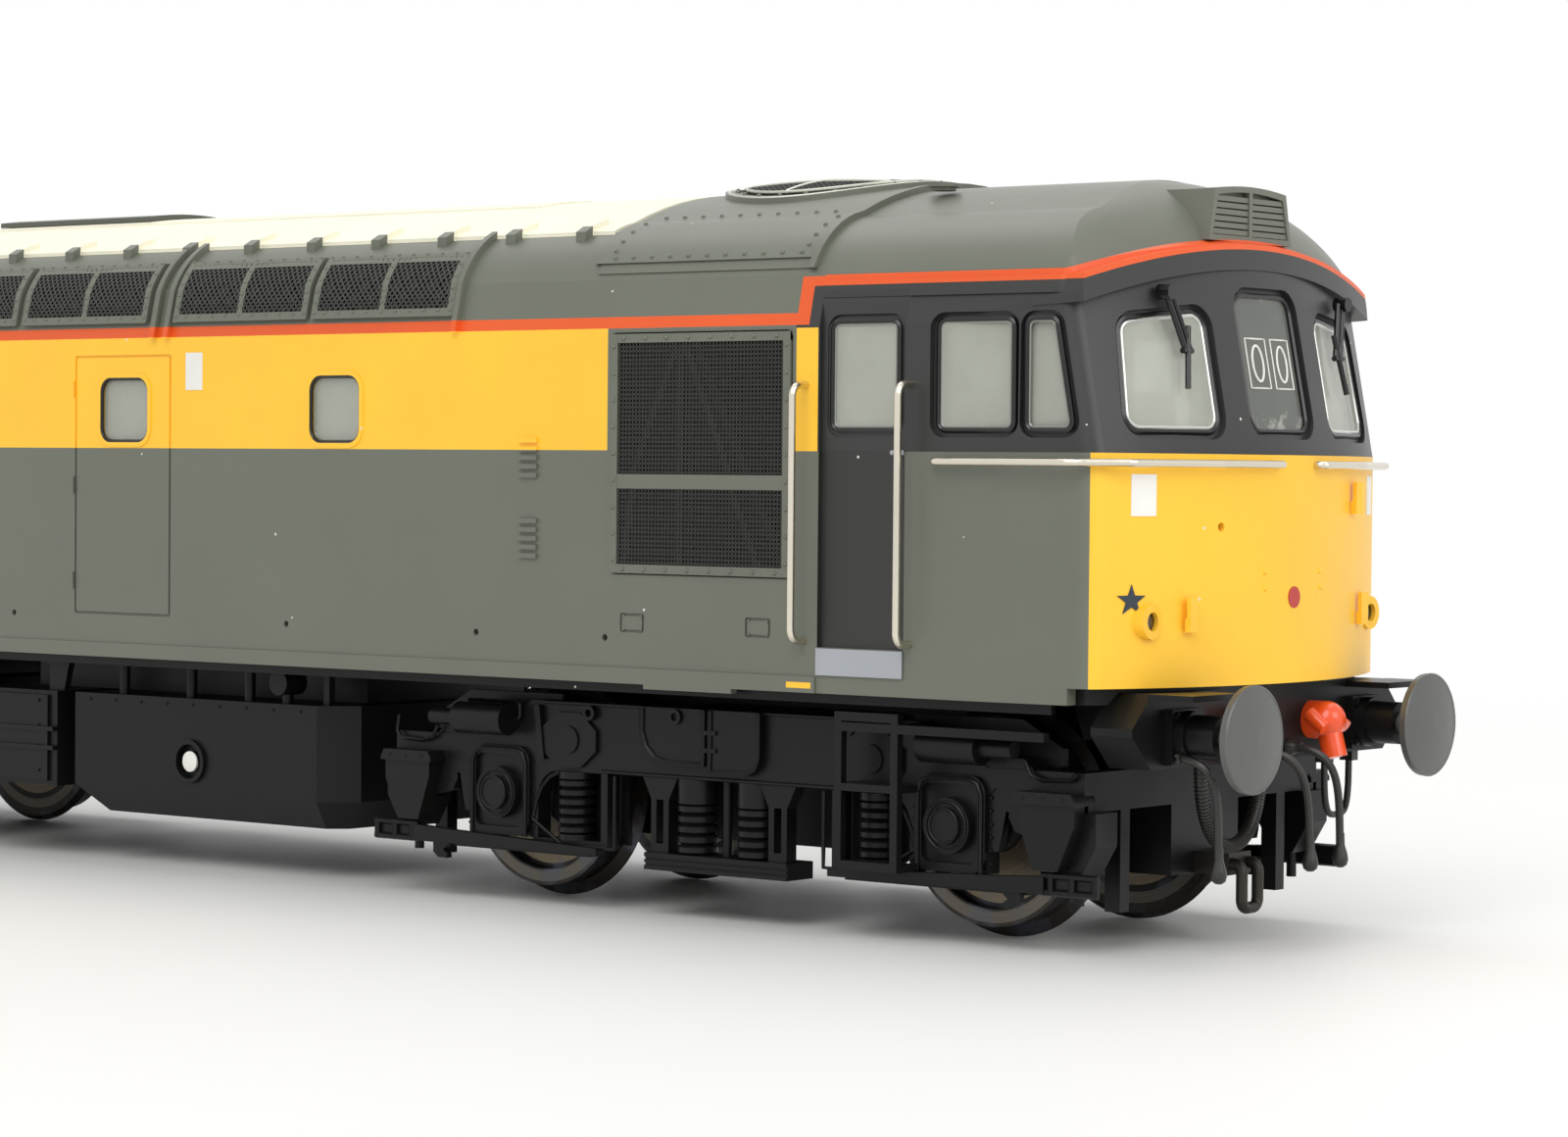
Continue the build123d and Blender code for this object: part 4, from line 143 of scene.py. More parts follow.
GREY, YELLOW, ORANGE = "#676a5e", "#fdc533", "#e2581f"
DARK, CREAM, DOOR_BLACK = "#2b2d2b", "#efebd5", "#252624"
# Painted shade: near black for the depth behind a grille's mesh, which lies in shade; and the pale grey of
# dust motes
SHADE_BEHIND_MESH, DUST = "#0e0f0f", "#d8d8cf"

# Patterns: a blotch about every 11 mm, and dust motes 0.2 mm across, which is life size
BLOTCHES_PER_MM = 0.09
MOTES_PER_MM = 0.55
MOTE_REACH = 0.055
NOISE_LOW, NOISE_HIGH = 0.3, 0.7       # most of a noise's values lie between these
GLOSS_SPREAD = 0.12
GRAIN_HEIGHT = 0.02 * MM


def srgb(hex_value, alpha=1.0):
    """Linear colour of an sRGB hex value: a straight run near black, and a power of 2.4 above it."""
    channels = [int(hex_value[start:start + 2], 16) / 255 for start in (1, 3, 5)]
    linear = [c / 12.92 if c <= 0.04045 else ((c + 0.055) / 1.055) ** 2.4 for c in channels]
    return (*linear, alpha)


def add_node(tree, kind, inputs=None, **settings):
    """Add a shader node, set its properties, and set its inputs, or link them to nodes or outputs."""
    new = tree.nodes.new("ShaderNode" + kind)
    for name, value in settings.items():
        setattr(new, name, value)
    for name, value in (inputs or {}).items():
        if isinstance(value, bpy.types.Node):
            value = value.outputs[0]
        if isinstance(value, bpy.types.NodeSocket):
            tree.links.new(value, new.inputs[name])
        else:
            new.inputs[name].default_value = value
    return new


def new_material(name):
    """Material with an empty tree, its shader and the object coordinates in millimetres."""
    material = bpy.data.materials.new(name)
    material.use_nodes = True
    tree = material.node_tree
    tree.nodes.clear()
    shader = add_node(tree, "BsdfPrincipled")
    add_node(tree, "OutputMaterial", {"Surface": shader})
    place = add_node(tree, "TexCoord").outputs["Object"]
    scaled = add_node(tree, "VectorMath", {0: place, "Scale": 1 / MM}, operation="SCALE")
    return material, tree, shader, scaled


def finish_surface(tree, shader, colour, place, roughness, grain_mm, grain_bump, blotch=0.06, dust=0.0):
    """Give a shader its colour with soft blotches and dust motes, uneven gloss and a fine grain.

    A Map Range node's inputs 0 to 4 are the value, the range it comes from and the range it goes to.
    """
    blotches = add_node(tree, "TexNoise", {"Vector": place, "Scale": BLOTCHES_PER_MM, "Detail": 4.0,
                                           "Roughness": 0.6})
    shade = add_node(tree, "MapRange", {0: blotches, 1: NOISE_LOW, 2: NOISE_HIGH,
                                        3: 1 - blotch, 4: 1 + blotch})
    result = add_node(tree, "VectorMath", {0: colour, "Scale": shade}, operation="SCALE").outputs[0]
    if dust:
        motes = add_node(tree, "TexVoronoi", {"Vector": place, "Scale": MOTES_PER_MM, "Randomness": 1.0})
        near = add_node(tree, "Math", {0: motes.outputs["Distance"], 1: MOTE_REACH}, operation="LESS_THAN")
        some = add_node(tree, "SeparateColor", {0: motes.outputs["Color"]})
        chosen = add_node(tree, "Math", {0: some, 1: 1 - dust}, operation="GREATER_THAN")
        mote = add_node(tree, "Math", {0: near, 1: chosen}, operation="MULTIPLY")
        result = add_node(tree, "Mix", {0: mote, 6: result, 7: srgb(DUST)}, data_type="RGBA").outputs[2]
    tree.links.new(result, shader.inputs["Base Color"])
    gloss = add_node(tree, "MapRange", {0: blotches, 1: NOISE_LOW, 2: NOISE_HIGH,
                                        3: roughness * (1 - GLOSS_SPREAD),
                                        4: roughness * (1 + GLOSS_SPREAD)})
    tree.links.new(gloss.outputs[0], shader.inputs["Roughness"])
    grain = add_node(tree, "TexNoise", {"Vector": place, "Scale": 1 / grain_mm, "Detail": 3.0})
    bump = add_node(tree, "Bump", {"Strength": grain_bump, "Distance": GRAIN_HEIGHT, "Height": grain})
    tree.links.new(bump.outputs[0], shader.inputs["Normal"])


def plain_material(name, colour, roughness, metallic=0.0, grain_mm=0.25, grain_bump=0.25, blotch=0.06,
                   dust=0.0, alpha=1.0, coat=0.0, specular=0.5):
    """One-colour finish with blotches, grain and uneven gloss."""
    material, tree, shader, place = new_material(name)
    base = add_node(tree, "RGB")
    base.outputs[0].default_value = srgb(colour)
    finish_surface(tree, shader, base, place, roughness, grain_mm, grain_bump, blotch, dust)
    for socket, value in (("Metallic", metallic), ("Alpha", alpha), ("Coat Weight", coat),
                          ("Specular IOR Level", specular)):
        shader.inputs[socket].default_value = value
    return material


def livery_places(tree, place):
    """Places in millimetres that bound the bands: up, signed along, and along and across without a sign."""
    axes = add_node(tree, "SeparateXYZ", {0: place}).outputs
    return {"up": axes[2], "signed": axes[0],
            "along": add_node(tree, "Math", {0: axes[0]}, operation="ABSOLUTE"),
            "across": add_node(tree, "Math", {0: axes[1]}, operation="ABSOLUTE")}


def painted_bands(tree, colour, places, bands):
    """Colour after each band is laid over the last: a band is a paint and the ranges of places it fills."""
    for paint, *ranges in bands:
        mask = 1.0
        for name, low, high in ranges:
            inside = add_node(tree, "Math", {0: places[name], 1: (low + high) / 2, 2: (high - low) / 2},
                              operation="COMPARE")
            mask = add_node(tree, "Math", {0: inside, 1: mask}, operation="MULTIPLY")
        colour = add_node(tree, "Mix", {0: mask, 6: colour, 7: srgb(paint)}, data_type="RGBA").outputs[2]
    return colour


def body_paint():
    """Enamel sprayed in masked bands on the moulded body: a satin film with crisp colour edges, and painted
    shade, near black, on the shell under the roof grille.
    """
    material, tree, shader, place = new_material("body_enamel")
    colour = painted_bands(tree, srgb(GREY), livery_places(tree, place), (
        (YELLOW, ("up", WAIST_Z, CANTRAIL_Z), ("signed", -SEAM_X - 1, BAND_END_X)),
        (YELLOW, ("up", WAIST_Z, CANTRAIL_Z - 0.2), ("along", *STRIP_X)),
        (YELLOW, ("up", *STEP_MARK_Z), ("along", *STEP_MARK_X), ("across", HALF_WIDTH + 0.1, HALF_WIDTH + 1)),
        (DARK, ("up", CANTRAIL_Z - 0.2, CAB_STRIPE_Z), ("along", STRIPE_JOG_X[0], SEAM_X + 1)),
        (ORANGE, ("up", CANTRAIL_Z, STRIPE_TOP_Z), ("along", -1, STRIPE_JOG_X[1])),
        (ORANGE, ("up", CANTRAIL_Z, CAB_STRIPE_Z + STRIPE_HALF), ("along", *STRIPE_JOG_X)),
        (ORANGE, ("up", CAB_STRIPE_Z - STRIPE_HALF, CAB_STRIPE_Z + STRIPE_HALF),
         ("along", STRIPE_JOG_X[0], SEAM_X + 1)),
        (CREAM, ("up", CREAM_FOOT_Z, ABOVE_ALL), ("across", -1, CREAM_EDGE_Y),
         ("signed", -SEAM_X, CREAM_END_X)),
        # Painted shade: the shell under the roof grille laid near black, for the shade behind its mesh
        (SHADE_BEHIND_MESH, ("up", CREAM_FOOT_Z, ABOVE_ALL), ("across", -1, ROOF_GRILLE_Y),
         ("signed", *ROOF_GRILLE_X)),
    ))
    finish_surface(tree, shader, colour, place, roughness=0.42, grain_mm=0.22, grain_bump=0.25,
                   blotch=0.04, dust=0.10)
    return material


def cab_paint():
    """The same sprayed enamel on the cabs, a little glossier: dark window surround, yellow nose, brow stripe.

    The stripe's height over the brow falls from its middle with the square of the distance across.
    """
    material, tree, shader, place = new_material("cab_enamel")
    places = livery_places(tree, place)
    held = add_node(tree, "Math", {0: places["across"], 1: BROW_HALF}, operation="MINIMUM")
    share = add_node(tree, "Math", {0: held, 1: BROW_HALF}, operation="DIVIDE")
    fall = add_node(tree, "Math", {0: share, 1: 2.0}, operation="POWER")
    stripe_z = add_node(tree, "Math", {0: fall, 1: -BROW_RISE, 2: CAB_STRIPE_Z + BROW_RISE},
                        operation="MULTIPLY_ADD")
    places["above"] = add_node(tree, "Math", {0: places["up"], 1: stripe_z}, operation="SUBTRACT")
    colour = painted_bands(tree, srgb(GREY), places, (
        (DARK, ("up", WAIST_Z, ABOVE_ALL), ("above", -40.0, 0.0)),
        (YELLOW, ("up", NOSE_FOOT_Z, WAIST_Z), ("along", NOSE_PAINT_X, 120.0)),
        (DOOR_BLACK, ("up", DOOR_FOOT_Z, WAIST_Z + 0.05), ("along", *DOOR_X)),
        (ORANGE, ("above", -STRIPE_HALF, STRIPE_HALF)),
    ))
    finish_surface(tree, shader, colour, place, roughness=0.40, grain_mm=0.22, grain_bump=0.25,
                   blotch=0.04, dust=0.10)
    return material


def wheel_metal():
    """Steel turned and then darkened in a bath: fine rings, a pale worn tread, a tan web and bluish stains.

    The rings follow the distance from the nearer axle, in the plane of the wheel.
    """
    material, tree, shader, place = new_material("turned_wheel_metal")
    places = livery_places(tree, place)
    from_bogie = add_node(tree, "Math", {0: places["along"], 1: BOGIE_X}, operation="SUBTRACT")
    to_axle = add_node(tree, "Math", {0: from_bogie}, operation="ABSOLUTE")
    level = add_node(tree, "Math", {0: to_axle, 1: HALF_WHEELBASE}, operation="SUBTRACT")
    rise = add_node(tree, "Math", {0: places["up"], 1: AXLE_Z}, operation="SUBTRACT")
    flat = add_node(tree, "CombineXYZ", {0: level, 1: rise})
    places["radius"] = add_node(tree, "VectorMath", {0: flat}, operation="LENGTH").outputs[1]
    rings = add_node(tree, "TexNoise", noise_dimensions="1D", inputs={"W": places["radius"], "Scale": 7.0,
                                                                      "Detail": 2.0})
    colour = painted_bands(tree, srgb("#3f3a33"), places, (
        ("#7b6f5b", ("radius", *WEB_RADII)), ("#1d1b19", ("radius", *GROOVE_RADII)),
        ("#6a645a", ("radius", *TREAD_RADII)), ("#332e29", ("radius", *FLANGE_RADII)),
    ))
    stains = add_node(tree, "TexNoise", {"Vector": place, "Scale": 0.45, "Detail": 5.0})
    stain = add_node(tree, "MapRange", {0: stains, 1: 0.5, 2: 0.68, 3: 0.0, 4: 0.6})
    stained = add_node(tree, "Mix", {0: stain, 6: colour, 7: srgb("#5c6270")}, data_type="RGBA").outputs[2]
    turned = add_node(tree, "MapRange", {0: rings, 1: NOISE_LOW, 2: NOISE_HIGH, 3: 0.82, 4: 1.15})
    lathed = add_node(tree, "VectorMath", {0: stained, "Scale": turned}, operation="SCALE")
    finish_surface(tree, shader, lathed, place, roughness=0.36, grain_mm=0.15, grain_bump=0.3, blotch=0.12)
    shader.inputs["Metallic"].default_value = 0.55
    return material


def headcode_paint():
    """Grey enamel sprayed behind a clear panel: deep, and rubbed to a frost along its foot and head."""
    material, tree, shader, place = new_material("rubbed_grey_enamel")
    patches = add_node(tree, "TexNoise", {"Vector": place, "Scale": 0.9, "Detail": 8.0, "Roughness": 0.7})
    up = livery_places(tree, place)["up"]
    above = add_node(tree, "Math", {0: up, 1: PANEL_MIDDLE_Z}, operation="SUBTRACT")
    away = add_node(tree, "Math", {0: above}, operation="ABSOLUTE")
    edge = add_node(tree, "MapRange", {0: away, 1: FROST_REACH[0], 2: FROST_REACH[1], 3: -0.16, 4: 0.10})
    total = add_node(tree, "Math", {0: patches, 1: edge}, operation="ADD")
    frost = add_node(tree, "MapRange", {0: total, 1: 0.50, 2: 0.62, 3: 0.0, 4: 0.6})
    colour = add_node(tree, "Mix", {0: frost, 6: srgb("#5b5e58"), 7: srgb("#b4b6ad")}, data_type="RGBA")
    finish_surface(tree, shader, colour.outputs[2], place, roughness=0.3, grain_mm=0.5, grain_bump=0.2,
                   blotch=0.08)
    return material


def pane_places(x, way):
    """Middle and half length of one of the two panes of the cantrail grille at x."""
    middle = x + way * (CANTRAIL_GRILLE_LENGTH - GRILLE_FRAME) / 4
    return middle, CANTRAIL_GRILLE_LENGTH / 4 - 3 / 4 * GRILLE_FRAME


def grille_paint():
    """Etched brass sprayed with the body colour: crisp thin frames, and painted shade that lays the mesh and
    slats nearly black for the shade behind the wires.
    """
    material, tree, shader, place = new_material("etched_brass_with_painted_shade")
    inner = ("along", RADIATOR_X[0] + RADIATOR_FRAME, RADIATOR_X[1] - RADIATOR_FRAME)
    # Painted shade: each pane behind the mesh is laid near black, slats and lattice alike
    bands = [(SHADE_BEHIND_MESH, inner, ("up", RADIATOR_Z[0] + RADIATOR_FRAME, RADIATOR_RAIL_Z - RADIATOR_RAIL_HALF)),
             (SHADE_BEHIND_MESH, inner, ("up", RADIATOR_RAIL_Z + RADIATOR_RAIL_HALF, RADIATOR_Z[1] - RADIATOR_FRAME))]
    for x in CANTRAIL_GRILLES_X:
        for way in (-1, 1):
            middle, half = pane_places(x, way)
            bands.append((SHADE_BEHIND_MESH, ("signed", middle - half, middle + half),
                          ("up", CANTRAIL_GRILLE_Z[0] + GRILLE_FRAME, CANTRAIL_GRILLE_Z[1] - GRILLE_FRAME)))
    colour = painted_bands(tree, srgb(GREY), livery_places(tree, place), bands)
    finish_surface(tree, shader, colour, place, roughness=0.42, grain_mm=0.2, grain_bump=0.25, blotch=0.05)
    return material


materials = {
    "body": body_paint(),
    "cab": cab_paint(),
    "wheel": wheel_metal(),
    "grille": grille_paint(),
    # Moulded in its own black and left unpainted: a deep black with a weak sheen and a little dust
    "underframe": plain_material("moulded_black_abs", "#121313", 0.36, grain_mm=0.2, blotch=0.10, dust=0.05,
                                 specular=0.22),
    # Mesh etched from thin brass and sprayed: dark wires that catch a small metal glint
    "mesh": plain_material("painted_etched_mesh", "#393b37", 0.42, metallic=0.2),
    # Strips sprayed along with it: soft dark bars behind the wires
    "strut": plain_material("painted_mesh_backing", "#343632", 0.5),
    # Painted shade: dull, nearly black fins and plate, for the shaded depth behind the slats
    "core": plain_material("painted_shade_radiator_fins", "#191917", 0.6, metallic=0.2, grain_mm=0.15, dust=0.05),
    # The same etching on the roof: a paler grey, since it faces the light
    "roof_grille": plain_material("painted_roof_mesh", "#55584f", 0.40, metallic=0.2),
    # Nickel etched and left bare: bright warm grey rings
    "roof_trim": plain_material("bare_etched_nickel", "#b9baae", 0.30, metallic=0.7),
    # Clear styrene moulded against polished steel: sharp reflections over a pale, milky view of the inside
    "glass": plain_material("clear_styrene_glazing", "#c2c5b8", 0.06, alpha=0.55, coat=0.3, blotch=0.12,
                            grain_bump=0.02),
    # Painted highlight: thin bright lines round the panes, for the light that their cut edges pipe
    "glass_edge": plain_material("styrene_edge_painted_highlight", "#c9ccc6", 0.12, metallic=0.35, grain_bump=0.05),
    "side_edge": plain_material("clear_styrene_edge", "#8b8e87", 0.15, metallic=0.2, grain_bump=0.05),
    # Rubber moulded smooth: black, with a wet-looking highlight along each seal
    "seal": plain_material("black_rubber_seal", "#0d0e0e", 0.25),
    "headcode": headcode_paint(),
    # Printed film laid flat: even white with no texture of its own
    "digits": plain_material("white_transfer_film", "#e9e8e2", 0.40),
    # Styrene moulded in grey and unpainted: flat and pale behind the glass
    "interior": plain_material("grey_styrene_moulding", "#a6a89c", 0.55),
    # Cast zinc blackened in a bath: dull and slightly metallic
    "chassis": plain_material("blackened_zinc_casting", "#232323", 0.6, metallic=0.3),
    # Steel turned and greyed in a bath: soft grey discs with a fine grain
    "buffer": plain_material("chemically_greyed_steel", "#5f605e", 0.34, metallic=0.45, grain_mm=0.12),
    # Drawn nickel silver wire left bare: bright, warm, with long highlights
    "rail": plain_material("nickel_silver_wire", "#d9d2c2", 0.22, metallic=1.0, grain_mm=0.1, grain_bump=0.1),
    # ABS from a polished mould: black with sharp highlights
    "wiper": plain_material("gloss_black_moulding", "#0e0e0e", 0.22),
    # Steel brushed one way and lacquered: a cool grey plate
    "bright": plain_material("brushed_steel_plate", "#a5a9ae", 0.35, metallic=0.6),
    # Enamels brushed or printed over the livery: even, opaque and a little glossier than the spray
    "white": plain_material("white_enamel", "#eceae4", 0.35),
    "red": plain_material("red_enamel", "#b8322a", 0.35),
    "star": plain_material("slate_blue_enamel", "#26323c", 0.35),
    "yellow": plain_material("yellow_enamel", YELLOW, 0.42),
    "grey": plain_material("grey_enamel", GREY, 0.42),
    # Enamel brushed thickly on: glossy, rounded highlights
    "socket": plain_material("gloss_orange_enamel", "#e8501c", 0.25, coat=0.3),
    # Soft rubber-like moulding: warm black with a low sheen
    "hose": plain_material("black_rubber_moulding", "#232220", 0.36),
    # Steel blackened in a bath: dark metal that shows its edges
    "coupling": plain_material("blackened_steel", "#3a3733", 0.4, metallic=0.8),
    # Painted black inside and lacquered: a dark bore with a glossy rim
    "lens": plain_material("dark_lamp_bore", "#15120f", 0.25, coat=0.5),
}

# Finish of each node, whatever end or side its name closes with
node_finish = {
    "body_shell": "body", "cab_shell": "cab", "cab_roof_vents": "grey", "cantrail_grilles": "grille",
    "radiator_grilles": "grille", "fan_grille": "roof_grille", "roof_grille": "roof_grille",
    "body_glazing": "glass", "cab_glazing": "glass", "headcode_panels": "headcode",
    "cab_interior": "interior", "chassis_block": "chassis", "buffers": "buffer", "handrails": "rail",
    "wipers": "wiper", "cab_door_trim": "bright", "control_sockets": "socket", "end_hoses": "hose",
    "coupling": "coupling", "lamp_irons": "yellow",
}
for name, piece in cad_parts.items():
    kind = name
    for ending in ("_front", "_rear", "_left", "_right"):
        kind = kind.removesuffix(ending)
    finish = node_finish.get(kind, "wheel" if name.startswith("wheelset") else "underframe")
    piece.data.materials.clear()
    piece.data.materials.append(materials[finish])


def unit(vectors):
    """Vectors scaled to a length of one."""
    return vectors / np.linalg.norm(vectors, axis=-1, keepdims=True)


def skins(grids):
    """Closed skins from grids (pieces, rows, columns, 3): quads join the points, and columns wrap round."""
    pieces, rows, columns = grids.shape[:3]
    row, column = np.arange(rows - 1)[:, None], np.arange(columns)[None, :]
    after = (column + 1) % columns
    quads = np.stack(np.broadcast_arrays(row * columns + column, row * columns + after,
                                         (row + 1) * columns + after, (row + 1) * columns + column), -1)
    offsets = rows * columns * np.arange(pieces)[:, None, None]
    return grids.reshape(-1, 3), (quads.reshape(-1, 4)[None] + offsets).reshape(-1, 4)


def tubes(paths, radius, sides=6, up=(0, 0, 1), closed=False):
    """Tubes along paths (pieces, points, 3): point = path + radius (cos a · side + sin a · lift).

    Side is square to the run and to up, lift is square to both, and open ends draw in to a point.
    """
    paths = np.asarray(paths, float).reshape(-1, *np.shape(paths)[-2:])
    if closed:
        run = unit(np.roll(paths, -1, 1) - np.roll(paths, 1, 1))
    else:
        run = unit(np.gradient(paths, axis=1))
    side = unit(np.cross(run, np.broadcast_to(up, run.shape)))
    lift = np.cross(side, run)
    angle = 2 * np.pi * (np.arange(sides) + 0.5) / sides
    across, rise = np.cos(angle)[None, None, :, None], np.sin(angle)[None, None, :, None]
    grids = paths[:, :, None] + radius * (across * side[:, :, None] + rise * lift[:, :, None])
    if closed:
        grids = np.concatenate([grids, grids[:, :1]], 1)
    else:
        tips = np.broadcast_to(paths[:, :, None], grids.shape)
        grids = np.concatenate([tips[:, :1], grids, tips[:, -1:]], 1)
    return skins(grids)


def studs(places, axes, profile, sides=8):
    """Turned pieces at places: each is the profile (radius, height) swung round its own axis."""
    places, axes = np.broadcast_arrays(*(np.asarray(given, float).reshape(-1, 3) for given in (places, axes)))
    axes = unit(axes)
    helper = np.where(np.abs(axes[:, :1]) < 0.7, (1.0, 0, 0), (0, 1.0, 0))
    side = unit(np.cross(axes, helper))
    lift = np.cross(axes, side)
    profile = np.asarray(profile, float)
    radii, heights = profile[:, 0], profile[:, 1]
    angle = 2 * np.pi * np.arange(sides) / sides
    around = np.cos(angle)[None, :, None] * side[:, None] + np.sin(angle)[None, :, None] * lift[:, None]
    grids = (places[:, None, None] + heights[None, :, None, None] * axes[:, None, None]
             + radii[None, :, None, None] * around[:, None])
    return skins(grids)


def slabs(outline, normal, thickness):
    """Flat plate: the outline, its copy moved along the normal, and both closed to the outline's middle."""
    outline = np.asarray(outline, float)[None]
    step = unit(np.asarray(normal, float)) * thickness
    middle = np.broadcast_to(outline.mean(1, keepdims=True), outline.shape)
    return skins(np.stack([middle, outline, outline + step, middle + step], 1))


def rounded_outline(corners, radius, steps=5):
    """Closed outline with arcs for corners: an arc's centre is radius / sin(half angle) up the bisector."""
    corners = np.asarray(corners, float)
    before = unit(np.roll(corners, 1, 0) - corners)
    after = unit(np.roll(corners, -1, 0) - corners)
    half = np.arccos(np.clip((before * after).sum(1), -1, 1))[:, None] / 2
    centre = corners + unit(before + after) * radius / np.sin(half)
    start = corners + before * radius / np.tan(half) - centre
    end = corners + after * radius / np.tan(half) - centre
    sweep = (np.pi - 2 * half)[:, None]
    share = np.linspace(0, 1, steps)[None, :, None]
    arcs = np.sin((1 - share) * sweep) * start[:, None] + np.sin(share * sweep) * end[:, None]
    return (centre[:, None] + arcs / np.sin(sweep)).reshape(-1, 2)


def box_corners(x, z):
    """Corners of an upright rectangle, from its places along and up."""
    return [(x[0], z[0]), (x[1], z[0]), (x[1], z[1]), (x[0], z[1])]


def circle(count, radius, middle=(0, 0)):
    """Points round a circle: middle + radius (cos a, sin a). A pair of radii makes an ellipse."""
    turn = np.linspace(0, 2 * np.pi, count, endpoint=False)
    return np.asarray(middle) + np.column_stack([np.cos(turn), np.sin(turn)]) * radius


def divided(outline, count, closed=False):
    """Outline with its runs cut into equal parts: start + share (end - start). An open one keeps its end."""
    starts = np.asarray(outline, float)
    last, starts = (starts[:0], starts) if closed else (starts[-1:], starts[:-1])
    ends = np.roll(starts, -1, 0) if closed else np.concatenate([starts[1:], last])
    share = np.arange(count)[None, :, None] / count
    return np.concatenate([(starts[:, None] + share * (ends - starts)[:, None]).reshape(-1, 2), last])


def drawn_in(corners, inset):
    """Convex outline moved inwards along its own normals by inset."""
    corners = np.asarray(corners, float)
    run = unit(np.roll(corners, -1, 0) - corners)
    inward = np.stack([-run[:, 1], run[:, 0]], -1)
    inward *= np.sign(((corners.mean(0) - corners) * inward).sum(1))[:, None]
    previous = np.roll(inward, 1, 0)
    return corners + inset * (inward + previous) / (1 + (inward * previous).sum(1))[:, None]


def on_side(outline, distance):
    """Points along and up, stood upright at a distance to the right of the middle."""
    return np.insert(np.asarray(outline, float), 1, -distance, axis=1)


def side_plate(outline, face, thickness):
    """Upright plate whose one face is at a distance right of the middle and whose other is further out."""
    return slabs(on_side(outline, face), (0, -1, 0), thickness)


def side_bead(outline, distance, radius, closed=False):
    """Round bead laid along an upright outline at a distance to the right of the middle."""
    return tubes(on_side(outline, distance), radius, up=(0, 1, 0), closed=closed)


def copied(shape, ways):
    """A shape's copies with along and across multiplied by each pair of signs."""
    vertices, faces = shape
    turned = [vertices * (along, across, 1) for along, across in ways]
    return np.concatenate(turned), np.concatenate([faces + i * len(vertices) for i in range(len(ways))])


BOTH_SIDES = ((1, 1), (1, -1))
BOTH_ENDS = ((1, 1), (-1, -1))
ALL_FOUR = ((1, 1), (1, -1), (-1, 1), (-1, -1))


def finished(name, shapes, material, ways=((1, 1),), body="body", along=0.0):
    """One mesh from copies of shapes, its poles closed and its faces turned outwards, riding on a body."""
    shapes = [copied(shape, ways) for shape in shapes]
    counts = np.cumsum([0] + [len(vertices) for vertices, _ in shapes])
    vertices = (np.concatenate([vertices for vertices, _ in shapes]) + (along, 0, 0)) * MM
    faces = np.concatenate([faces + start for (_, faces), start in zip(shapes, counts)])
    mesh = bpy.data.meshes.new(name)
    mesh.from_pydata(vertices.tolist(), [], faces.tolist())
    work = bmesh.new()
    work.from_mesh(mesh)
    bmesh.ops.remove_doubles(work, verts=work.verts, dist=1e-4 * MM)
    bmesh.ops.recalc_face_normals(work, faces=work.faces)
    work.to_mesh(mesh)
    work.free()
    mesh.shade_smooth()
    mesh.set_sharp_from_angle(angle=radians(40))
    mesh.materials.append(materials[material])
    thing = bpy.data.objects.new(name, mesh)
    bpy.context.scene.collection.objects.link(thing)
    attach(thing, body)
    return thing


def circle_through(a, b, c):
    """Centre and radius of the circle through three points."""
    a, b, c = (np.asarray(p, float) for p in (a, b, c))
    rows = 2 * np.array([b - a, c - a])
    centre = np.linalg.solve(rows, np.array([b @ b - a @ a, c @ c - a @ a]))
    return centre, np.linalg.norm(centre - a)


shoulder_centre, shoulder_radius = circle_through(EAVES, SHOULDER, CROWN_FOOT)
crown_centre, crown_radius = circle_through(CROWN_FOOT, ROOF_TOP, (-CROWN_FOOT[0], CROWN_FOOT[1]))


def skin_at_height(z, lift=0.0):
    """Across and up on the body's skin at a height: the side, its lean to the eaves, the shoulder's arc."""
    z = np.asarray(z, float)
    share = np.clip((z - LEAN_FOOT_Z) / (EAVES[1] - LEAN_FOOT_Z), 0, 1)
    lean = HALF_WIDTH + (EAVES[0] - HALF_WIDTH) * share
    rise = np.clip(z, EAVES[1], CROWN_FOOT[1]) - shoulder_centre[1]
    arc = shoulder_centre[0] + np.sqrt(np.maximum(shoulder_radius ** 2 - rise ** 2, 0))
    y = np.where(z > EAVES[1], arc, lean)
    from_centre = unit(np.stack([arc - shoulder_centre[0], rise], -1))
    away = np.where((z > EAVES[1])[..., None], from_centre, LEAN_AWAY)
    return np.stack([y, z], -1) + lift * unit(away)


def crown_at(y, lift=0.0):
    """Height of the roof's crown at a distance from its middle, raised by lift."""
    return crown_centre[1] + np.sqrt((crown_radius + lift) ** 2 - np.asarray(y, float) ** 2)


def nose_x(y):
    """Place of the bowed nose at a distance from its middle."""
    return NOSE_MIDDLE_X - NOSE_BOW + np.sqrt(NOSE_BOW ** 2 - np.asarray(y, float) ** 2)


def on_screen(outline, depth):
    """Points across and up, sunk below the bowed windscreen face, which leans back above the waist."""
    y, z = outline[:, 0], outline[:, 1]
    x = (NOSE_MIDDLE_X - WAIST_LEDGE - tan(radians(SCREEN_LEAN)) * (z - WAIST_Z)
         - SCREEN_BOW + np.sqrt(SCREEN_BOW ** 2 - y ** 2))
    return np.column_stack([x - depth, outline])


